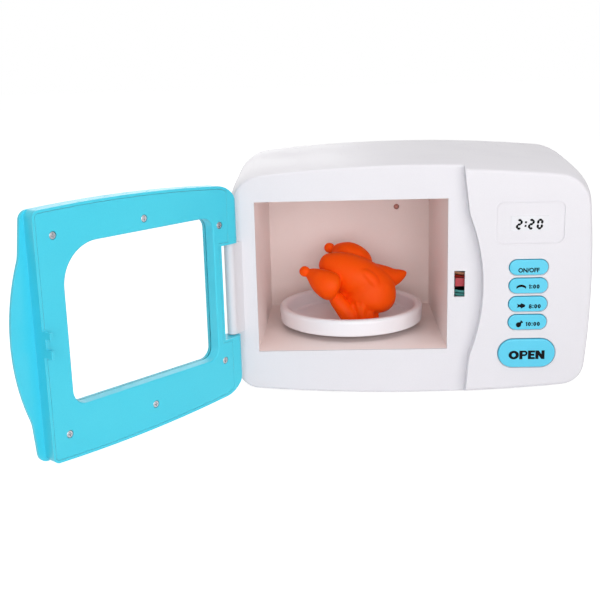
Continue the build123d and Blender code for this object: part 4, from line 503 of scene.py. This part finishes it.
def smooth_line(knots, count):
    """Points of a curve through knots: each span is the Catmull-Rom cubic of its four
    neighbours, p(t) = half of (2b + (c-a)t + (2a-5b+4c-d)t^2 + (3b-a-3c+d)t^3)."""
    knots = np.asarray(knots, float)
    ends = np.vstack([2 * knots[0] - knots[1], knots, 2 * knots[-1] - knots[-2]])
    place = np.linspace(0, len(knots) - 1, count)
    span = np.clip(place.astype(int), 0, len(knots) - 2)
    t = (place - span)[:, None]
    a, b, c, d = (ends[span + step] for step in range(4))
    return 0.5 * (2 * b + (c - a) * t + (2 * a - 5 * b + 4 * c - d) * t ** 2
                  + (3 * b - a - 3 * c + d) * t ** 3)


# Leads of a fleshy form: for a spine that lies, and for one that stands
LYING = (0.0, 0.0, 1.0)
STANDING = (0.0, 1.0, 0.0)

# Points worked out on a spine, of which the rings take their share, and how small the
# square of the end rings' share gets
FINE_POINTS = 800
END_TAPER = 0.0004


def fleshy_form(knots, fullness, lead=LYING, folds=(0, 0.0, 0.0), along=60, around=72):
    """Closed rounded form along a spine. Each knot gives a place on the housing in
    millimetres and two half widths, across the spine and along the lead. A ring at share
    s of the spine is an ellipse of those half widths times (1 - |2s - 1|^fullness)^(1/2),
    so 2 gives an egg and more gives a sausage. Folds (count, depth, turn) ripple the ring
    by a cosine."""
    share = 0.5 - 0.5 * np.cos(np.linspace(0, math.pi, along))
    fine = smooth_line(knots, FINE_POINTS)
    picked = np.round(share * (FINE_POINTS - 1)).astype(int)
    line = fine[picked]
    run = np.gradient(fine[:, :3], axis=0)[picked]
    run /= np.linalg.norm(run, axis=1, keepdims=True)
    across = np.cross(run, lead)
    across /= np.linalg.norm(across, axis=1, keepdims=True)
    upward = np.cross(across, run)
    taper = np.sqrt(np.clip(1 - np.abs(2 * share - 1) ** fullness, END_TAPER, 1))[:, None]
    turn = np.linspace(0, 2 * math.pi, around, endpoint=False)
    count, depth, start = folds
    ripple = 1 + depth * np.cos(count * turn + start)
    wide = (line[:, 3:4] * taper * np.cos(turn) * ripple)[:, :, None] * across[:, None, :]
    tall = (line[:, 4:5] * taper * np.sin(turn) * ripple)[:, :, None] * upward[:, None, :]
    rings = line[:, None, :3] + wide + tall
    verts = np.array(at(0, 0, 0)) + rings.reshape(-1, 3) * MM
    return verts.tolist(), tube_faces(along, around)


def play_roast():
    """Sculpted roast: fleshy forms joined, skinned at one fine voxel size and smoothed, with
    its underside flat on the dish. Knots are x, depth, height and the two half widths."""
    breast = [(68, 92, 93, 11, 10), (76, 91, 92, 12.5, 12.4), (88, 88, 88, 15.5, 16),
              (101, 86, 82, 18, 17.5), (114, 86, 76, 17.5, 16.5), (124, 86, 71.5, 14, 14),
              (132, 86, 69, 9, 10)]
    far_thigh = [(79.5, 117, 100.5, 4, 4), (85, 113, 99.8, 7, 7.8), (91, 109, 97.5, 11, 11.8),
                 (99, 105, 93.5, 12.5, 12.8), (106.5, 102, 87.8, 11.5, 11), (112.6, 100, 83, 6, 6)]
    far_knuckle = [(72.4, 119.5, 101.8, 4.6, 4.6), (81.8, 118.5, 101.2, 4.6, 4.6)]
    near_thigh = [(57, 79, 89.8, 3.4, 3.4), (62, 77.2, 87, 5.2, 6.4), (68.5, 73, 83.2, 8.6, 10.4),
                  (75, 69.8, 79.6, 10.5, 12), (80.5, 68.4, 77, 10, 11.6), (85, 68.4, 75, 7, 8.2)]
    near_knuckle = [(51.4, 79.5, 90.0, 4.6, 4.6), (60.6, 78.6, 89.0, 4.6, 4.6)]
    wing = [(104, 90, 80, 13, 13.0), (114, 89, 80.5, 13.5, 12.8), (124, 89.5, 80.3, 11, 10.8),
            (132, 90.5, 80.6, 7, 8), (138.5, 91.5, 82.5, 4, 4.8), (143.2, 92, 84.4, 1.8, 1.8)]
    belly = [(103, 87, 88, 12, 12), (106, 85.5, 81, 18.5, 16.5), (109.5, 85, 73.5, 22.2, 18.4),
             (112.2, 83.5, 65.5, 21.8, 18.6), (112.6, 82, 58.5, 18.6, 17.4),
             (112, 80.5, 51.5, 12, 13)]
    hollow_floor = [(86, 91, 84, 8, 10), (92, 90, 72, 12, 12), (98, 86, 60, 13, 13),
                    (102, 80, 50, 12, 12), (103, 79, 43, 11, 11)]
    tail_lobe = [(78.5, 76, 71, 5, 5), (83.6, 73, 64.6, 6.5, 6.8), (88.5, 72, 58, 7, 7),
                 (93.5, 72, 51, 8, 8), (96, 73, 44, 8, 8)]
    seat = [(99, 79, 64, 9, 10), (101.5, 78, 57, 12.5, 11.5), (103.4, 78, 50, 13.8, 12),
            (104, 78, 43, 13.2, 11.5)]
    keel_ridge = [(101, 75.5, 91, 3.5, 3.5), (107, 73.6, 87.6, 5, 5), (112.7, 72.8, 82.5, 5.6, 5.6),
                  (117.2, 73, 74, 5.6, 5.6), (120.2, 74.8, 65, 5, 5), (121.5, 77.4, 57, 4, 4)]
    side_ridge = [(113.5, 75.4, 84, 4, 4), (118.5, 75, 80, 4.6, 4.6), (124, 76, 75.5, 4.8, 4.8),
                  (130, 80.2, 69, 3.8, 3.8)]
    seat_ridge = [(106, 70.4, 68, 3.5, 3.5), (104.4, 69.8, 60, 4.4, 4.4),
                  (102.6, 69.8, 50, 4.4, 4.4)]
    loose_skin = (9, 0.10, 0.9)
    forms = [
        fleshy_form(breast, 4.0),
        fleshy_form(far_thigh, 5.0),
        fleshy_form(far_knuckle, 2.0),
        fleshy_form(near_thigh, 6.0),
        fleshy_form(near_knuckle, 2.0),
        fleshy_form(wing, 14.0),
        fleshy_form(belly, 8.0, STANDING),
        fleshy_form(hollow_floor, 12.0, STANDING),
        fleshy_form(tail_lobe, 10.0, STANDING),
        fleshy_form(seat, 12.0, STANDING, loose_skin),
        fleshy_form(keel_ridge, 8.0),
        fleshy_form(side_ridge, 8.0),
        fleshy_form(seat_ridge, 8.0),
    ]
    verts, faces = [], []
    for more, rings in forms:
        faces += [[corner + len(verts) for corner in face] for face in rings]
        verts += more
    made = new_piece("roast_form", verts, faces, roast_orange, "roast")
    skin = made.modifiers.new("skin", "REMESH")
    skin.mode = "VOXEL"
    skin.voxel_size = 0.6 * MM
    ease = made.modifiers.new("ease", "SMOOTH")
    ease.factor = 0.5
    ease.iterations = 3
    mesh = finished_mesh(made)
    made.modifiers.clear()
    made.data = mesh
    place = vertex_places(mesh)
    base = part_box("roast_chicken")[0].z
    place[:, 2] = np.maximum(place[:, 2], base)
    mesh.vertices.foreach_set("co", place.ravel())
    mesh.polygons.foreach_set("use_smooth", np.ones(len(mesh.polygons), bool))
    mesh.update()
    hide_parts("roast_chicken")


play_roast()

# Coil springs in place of the CAD springs

RINGS_PER_TURN = 24
WIRE_SIDES = 10


def coil_spring(name, node, side, wire, turns):
    """Round wire spring in place of a CAD spring whose far end stands still along axis number
    side. Its middle line is start + d * t + radius * (u cos 2 pi n t + v sin 2 pi n t) for n
    turns, t from 0 to 1, and the wire is a ring of points about it."""
    low, high = (np.array(corner, float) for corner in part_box(node))
    length = high[side] - low[side]
    along, u, v = (np.eye(3)[(side + step) % 3] for step in range(3))
    radius = (high - low)[2] / 2 - wire
    start = (low + high) / 2 + along * (wire - length / 2)
    reach = length - 2 * wire
    t = np.linspace(0, 1, RINGS_PER_TURN * turns + 1)[:, None]
    turn = 2 * math.pi * turns * t
    outward = u * np.cos(turn) + v * np.sin(turn)
    forward = along * reach + 2 * math.pi * turns * radius * (v * np.cos(turn) - u * np.sin(turn))
    forward /= np.linalg.norm(forward, axis=1, keepdims=True)
    across = np.cross(forward, outward)
    middle = start + along * reach * t + radius * outward
    round_wire = np.linspace(0, 2 * math.pi, WIRE_SIDES, endpoint=False)[None, :, None]
    rings = middle[:, None] + wire * (outward[:, None] * np.cos(round_wire)
                                      + across[:, None] * np.sin(round_wire))
    faces = tube_faces(len(rings), WIRE_SIDES)
    made = new_piece(name, rings.reshape(-1, 3).tolist(), faces, spring_steel, "housing")
    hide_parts(node)
    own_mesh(made)


coil_spring("open_button_coil", "open_button_spring", 1, 0.3 * MM, 5)
coil_spring("latch_coil", "latch_spring", 0, 0.2 * MM, 4)

# Marks printed on the buttons and the display

INK_RISE = 0.05 * MM

# Height of a capital in the letters' nominal size
CAPITAL_SHARE = 0.73


def printed_ink():
    """Printed ink: matt black, a little uneven."""
    made, tree, shader, place = new_material("Black Ink")
    skin = use_group(tree, SKIN, place, Grain_Size=2600.0)
    vary_colour(tree, shader, skin["Tone"], shade(4, 4, 6), shade(12, 12, 15))
    vary_roughness(tree, shader, skin["Tone"], 0.55, 0.7)
    shader.inputs["Specular IOR Level"].default_value = 0.1
    add_bump(tree, shader, skin["Height"], 0.4, 0.00001)
    return made


ink = printed_ink()


def flat_text(text, size, heavy=0.0, wide=1.0):
    """Drawing of plain lettering, with its stretch in width. The height of its capitals and
    its added weight are in millimetres."""
    curve = bpy.data.curves.new("lettering", "FONT")
    curve.body = text
    curve.size = size / CAPITAL_SHARE * MM
    curve.offset = heavy * MM
    curve.extrude = INK_RISE
    return curve, wide


def flat_outline(*loops):
    """Filled drawing from closed loops of points in millimetres; a loop inside cuts a hole."""
    curve = bpy.data.curves.new("outline", "CURVE")
    curve.dimensions = "2D"
    curve.fill_mode = "BOTH"
    curve.extrude = INK_RISE
    for loop in loops:
        points = np.asarray(loop, float) * MM
        spline = curve.splines.new("POLY")
        spline.points.add(len(points) - 1)
        flat = np.column_stack([points, np.zeros(len(points)), np.ones(len(points))])
        spline.points.foreach_set("co", flat.ravel())
        spline.use_cyclic_u = True
    return curve, 1.0


def print_mark(name, drawing, carrier, body, x, height):
    """Flat drawing made a mesh, then stood up on the front of a node at a place of the
    housing in millimetres, so that the ink stands a hair proud of it."""
    curve, wide = drawing
    made = add_object("drawing", curve)
    mesh = finished_mesh(made)
    bpy.data.objects.remove(made)
    across = vertex_places(mesh)
    middle = (across[:, :2].min(0) + across[:, :2].max(0)) / 2
    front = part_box(carrier)[0].y
    place = np.column_stack([
        at(x, 0, 0)[0] + (across[:, 0] - middle[0]) * wide,
        front - across[:, 2],
        height * MM + across[:, 1] - middle[1],
    ])
    mesh.vertices.foreach_set("co", place.astype(np.float32).ravel())
    mesh.materials.clear()
    mesh.materials.append(ink)
    mesh.update()
    piece = add_object(name, mesh)
    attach(piece, body)


def arc(centre, radius, start, stop, count=16, squash=1.0):
    """Points on an arc from one angle to another in degrees, flattened by squash."""
    turn = np.radians(np.linspace(start, stop, count))
    across = centre[0] + radius * np.cos(turn)
    up = centre[1] + radius * squash * np.sin(turn)
    return np.column_stack([across, up])


def roll_sign():
    """Bread roll: an arched band."""
    return flat_outline(np.vstack([arc((0, -3.4), 4.9, 41, 139), arc((0, -5.2), 4.9, 137, 43)]))


def fish_sign():
    """Fish: an oval body with a fin above and below, and a forked tail."""
    middle, length, flat = (1.0, 0.0), 2.4, 0.62
    tail = [(-2.9, -1.7), (-2.3, 0.0), (-2.9, 1.7)]
    return flat_outline(np.vstack([
        arc(middle, length, 150, 108, 6, flat), [(0.0, 2.2)],
        arc(middle, length, 72, -72, 16, flat), [(0.0, -2.2)],
        arc(middle, length, -108, -150, 6, flat), tail,
    ]))


def drumstick_sign():
    """Drumstick: a round of meat with a bone that ends in two knobs."""
    return flat_outline(np.vstack([
        arc((-0.6, -0.6), 2.0, 75, 375, 30), [(1.7, 0.9)], arc((2.2, 1.4), 0.6, -110, 80, 10),
        arc((1.4, 2.2), 0.6, 10, 200, 10), [(0.9, 1.7)],
    ]))


def heavy_open():
    """The word OPEN in plain heavy capitals, drawn from bars and arcs."""
    tall, bar = 7.0, 2.45
    o_wide, p_wide, e_wide, n_wide, gap = 8.0, 6.3, 5.4, 7.1, 0.35
    o_middle = (o_wide / 2, tall / 2)
    o_round = arc(o_middle, o_wide / 2, 0, 352, 44, tall / o_wide)
    o_hole = arc(o_middle, o_wide / 2 - bar, 0, 345, 24, 1.05)
    left = o_wide + gap
    bowl, bowl_height = 2.2, tall - 2.2
    p_outline = np.vstack([
        [(left, 0), (left + bar, 0), (left + bar, tall - 2 * bowl)],
        arc((left + p_wide - bowl, bowl_height), bowl, -90, 90), [(left, tall)],
    ])
    inner = 0.75
    p_hole = np.vstack([
        [(left + bar, bowl_height - inner)],
        arc((left + p_wide - bowl, bowl_height), inner, -90, 90),
        [(left + bar, bowl_height + inner)],
    ])
    left += p_wide + gap
    arm, short = 1.65, 0.45
    middle = (tall - arm) / 2
    e_outline = [
        (left, 0), (left + e_wide, 0), (left + e_wide, arm), (left + bar, arm),
        (left + bar, middle), (left + e_wide - short, middle),
        (left + e_wide - short, middle + arm), (left + bar, middle + arm),
        (left + bar, tall - arm), (left + e_wide, tall - arm), (left + e_wide, tall), (left, tall),
    ]
    left += e_wide + gap
    slant = 3.1
    n_outline = [
        (left, 0), (left + bar, 0), (left + bar, slant), (left + n_wide - bar, 0),
        (left + n_wide, 0), (left + n_wide, tall), (left + n_wide - bar, tall),
        (left + n_wide - bar, tall - slant), (left + bar, tall), (left, tall),
    ]
    return flat_outline(o_round, o_hole, p_outline, p_hole, e_outline, n_outline)


def segment_digits():
    """Clock time 2:20 in leaning seven-segment digits: each segment is a six-sided bar."""
    wide, tall, thick, gap, lean = 3.0, 6.5, 1.75, 0.05, 0.09
    half, middle = thick / 2, tall / 2
    level = np.array([(gap, 0), (half, half), (wide - half, half), (wide - gap, 0),
                      (wide - half, -half), (half, -half)])
    upright = np.array([(0, gap), (half, half), (half, middle - half), (0, middle - gap),
                        (-half, middle - half), (-half, half)])
    bars = {
        "top": level + (0, tall), "middle": level + (0, middle), "bottom": level,
        "left above": upright + (0, middle), "left below": upright,
        "right above": upright + (wide, middle), "right below": upright + (wide, 0),
    }
    two = ("top", "right above", "middle", "left below", "bottom")
    nought = ("top", "right above", "right below", "bottom", "left below", "left above")
    loops = [
        bars[name] + (start, 0)
        for start, names in ((0, two), (9.0, two), (15.5, nought))
        for name in names
    ]
    reach = 0.75
    dot = np.array([(-reach, -reach), (reach, -reach), (reach, reach), (-reach, reach)])
    loops += [dot + (6.3, height) for height in (2.0, 4.8)]
    leaning = [np.column_stack([loop[:, 0] + lean * loop[:, 1], loop[:, 1]]) for loop in loops]
    return flat_outline(*leaning)


# Centres of the buttons and of the display on the housing in millimetres
BUTTON_X = 230.0
POWER_Z, UPPER_Z, MIDDLE_Z, LOWER_Z, OPEN_Z = 107.3, 92.85, 78.4, 63.95, 38.9
DISPLAY_X, DISPLAY_Z = 229.65, 140.55


def time_mark(text):
    """Cooking time in small heavy figures, drawn from bars and rings."""
    tall, wide, bar, flag, space = 3.3, 2.3, 0.96, 0.38, 0.42
    ring, hole, crown = (wide / 2, tall / 2), wide / 2 - bar, 0.62
    lower, upper = (wide / 2, 1.05), (wide / 2, 2.4)
    eight = np.vstack([arc(lower, 1.15, 136, 404, 24), arc(upper, 0.97, -31, 211, 24)])
    eyes = (arc(lower, 0.34, 0, 330, 12), arc(upper, 0.28, 0, 330, 12))
    one = np.array([(flag, 0), (flag + bar, 0), (flag + bar, tall), (flag, tall), (0, tall - 0.5),
                    (0, tall - 1.0), (flag, tall - 0.8)])
    loops, left = [], 0.0
    for figure in text:
        if figure == "1":
            loops.append(one + (left, 0))
            left += flag + bar + space
        elif figure == ":":
            dot = arc((bar / 2, 0), bar / 2, 0, 330, 12)
            loops += [dot + (left, height) for height in (0.65, tall - 0.95)]
            left += bar + space
        elif figure == "8":
            loops += [loop + (left, 0) for loop in (eight, *eyes)]
            left += wide + space
        else:
            loops.append(arc(ring, wide / 2, 0, 345, 24, tall / wide) + (left, 0))
            loops.append(arc(ring, hole, 0, 330, 12, (tall / 2 - crown) / hole) + (left, 0))
            left += wide + space
    return flat_outline(*loops)


print_mark("power_words", flat_text("ON/OFF", 3.4, 0.17, 0.95), "power_button", "power_button",
           BUTTON_X, POWER_Z - 2.1)
print_mark("roll_sign", roll_sign(), "time_upper_button", "time_upper_button",
           BUTTON_X - 5.5, UPPER_Z - 0.6)
print_mark("time_1_00", time_mark("1:00"), "time_upper_button", "time_upper_button",
           BUTTON_X + 4.35, UPPER_Z - 0.6)
print_mark("fish_sign", fish_sign(), "time_middle_button", "time_middle_button",
           BUTTON_X - 5.2, MIDDLE_Z - 1.2)
print_mark("time_8_00", time_mark("8:00"), "time_middle_button", "time_middle_button",
           BUTTON_X + 5.2, MIDDLE_Z - 1.8)
print_mark("drumstick_sign", drumstick_sign(), "time_lower_button", "time_lower_button",
           BUTTON_X - 6.1, LOWER_Z - 1.2)
print_mark("time_10_00", time_mark("10:00"), "time_lower_button", "time_lower_button",
           BUTTON_X + 4.1, LOWER_Z - 1.45)
print_mark("open_words", heavy_open(), "open_button", "open_button", BUTTON_X, OPEN_Z - 1.2)
print_mark("display_time", segment_digits(), "display_label", "housing", DISPLAY_X, DISPLAY_Z)

# Camera

YAW, PITCH, ROLL = -0.040, 0.249, -0.027
CAMERA_PLACE = (0.007551, -0.770576, 0.276669)
FOCAL_LENGTH = 60.2746
SENSOR_WIDTH = 36.0


def standing(right, upper, back, place):
    """Matrix of a camera or lamp at a place: its own three axes as columns. It looks away
    from back."""
    rows = [(*axes, spot) for axes, spot in zip(zip(right, upper, back), place)]
    return Matrix((*rows, (0.0, 0.0, 0.0, 1.0)))


def photo_camera():
    """Camera at the photograph's place, turned to the side, down and about its own axis."""
    data = bpy.data.cameras.new("photo_camera")
    data.sensor_width = SENSOR_WIDTH
    data.lens = FOCAL_LENGTH
    made = add_object("photo_camera", data)
    reach = math.cos(PITCH)
    ahead = np.array([math.sin(YAW) * reach, math.cos(YAW) * reach, -math.sin(PITCH)])
    level = np.array([math.cos(YAW), -math.sin(YAW), 0.0])
    above = np.cross(level, ahead)
    right = level * math.cos(ROLL) + above * math.sin(ROLL)
    upper = above * math.cos(ROLL) - level * math.sin(ROLL)
    made.matrix_world = standing(right, upper, -ahead, CAMERA_PLACE)
    return made


bpy.context.scene.camera = photo_camera()

# Studio

WORLD_LIGHT = 0.29
FLOOR_HALF = 6.0
FLOOR_BOUNCE = (0.85, 0.85, 0.85, 1.0)
FLOOR_SHADED = (0.50, 0.50, 0.50, 1.0)
FLOOR_GLOW = 0.86


def seen_plainly(tree):
    """1 for rays of the camera, of gloss and through clear film, and 0 for light that only
    bounces."""
    ray = put(tree, "LightPath")
    plain = math_node(tree, "MAXIMUM", ray.outputs["Is Camera Ray"], ray.outputs["Is Glossy Ray"])
    return math_node(tree, "MAXIMUM", plain, ray.outputs["Is Transmission Ray"])


def white_surroundings():
    """World that is white to look at and a plain weak light on the object."""
    world = bpy.data.worlds.new("studio")
    bpy.context.scene.world = world
    world.use_nodes = True
    tree = world.node_tree
    back = tree.nodes["Background"]
    back.inputs["Color"].default_value = (1.0, 1.0, 1.0, 1.0)
    strength = between(tree, seen_plainly(tree), 0.0, 1.0, WORLD_LIGHT, 1.0)
    join(tree, strength, back.inputs["Strength"])


def floor_finish():
    """Pale floor: to look at, a glow with a weak shaded part that keeps the shadow."""
    made = bpy.data.materials.new("Studio Floor")
    made.use_nodes = True
    tree = made.node_tree
    tree.nodes.clear()
    bounce = put(tree, "BsdfDiffuse", Color=FLOOR_BOUNCE)
    shaded = put(tree, "BsdfDiffuse", Color=FLOOR_SHADED)
    glow = put(tree, "Emission", Strength=FLOOR_GLOW)
    shown = put(tree, "AddShader")
    join(tree, shaded.outputs[0], shown.inputs[0])
    join(tree, glow.outputs[0], shown.inputs[1])
    mixed = put(tree, "MixShader")
    join(tree, seen_plainly(tree), mixed.inputs[0])
    join(tree, bounce.outputs[0], mixed.inputs[1])
    join(tree, shown.outputs[0], mixed.inputs[2])
    leave = put(tree, "OutputMaterial")
    join(tree, mixed.outputs[0], leave.inputs["Surface"])
    return made


def lay_floor():
    """One large level square under the object."""
    mesh = bpy.data.meshes.new("studio_floor")
    near, far = -FLOOR_HALF, FLOOR_HALF
    corners = [(near, near, 0), (far, near, 0), (far, far, 0), (near, far, 0)]
    mesh.from_pydata(corners, [], [(0, 1, 2, 3)])
    mesh.materials.append(floor_finish())
    floor = add_object("studio_floor", mesh)


def hang_panel(name, place, aim, size, power):
    """Round soft lamp at a place, turned to a point of the object."""
    lamp = bpy.data.lights.new(name, "AREA")
    lamp.shape = "DISK"
    lamp.size = size
    lamp.energy = power
    holder = add_object(name, lamp)
    away = np.array(place) - np.array(aim)
    away /= np.linalg.norm(away)
    overhead = abs(away[2]) > 0.9
    flat = np.cross((0.0, 1.0, 0.0) if overhead else (0.0, 0.0, 1.0), away)
    flat /= np.linalg.norm(flat)
    holder.matrix_world = standing(flat, np.cross(away, flat), away, place)


white_surroundings()
lay_floor()
hang_panel("right_panel", (0.70, -1.35, 0.40), (0.02, 0.0, 0.09), 1.1, 8.0)
hang_panel("front_panel", (-0.05, -1.5, 0.38), (0.02, 0.0, 0.09), 1.0, 7.8)
hang_panel("top_panel", (-0.05, -0.2, 1.35), (0.0, 0.0, 0.0), 0.8, 6.2)
hang_panel("rear_panel", (-0.5, 1.5, 0.7), (0.0, 0.10, 0.08), 1.2, 3.5)
bpy.context.scene.view_settings.view_transform = "Standard"
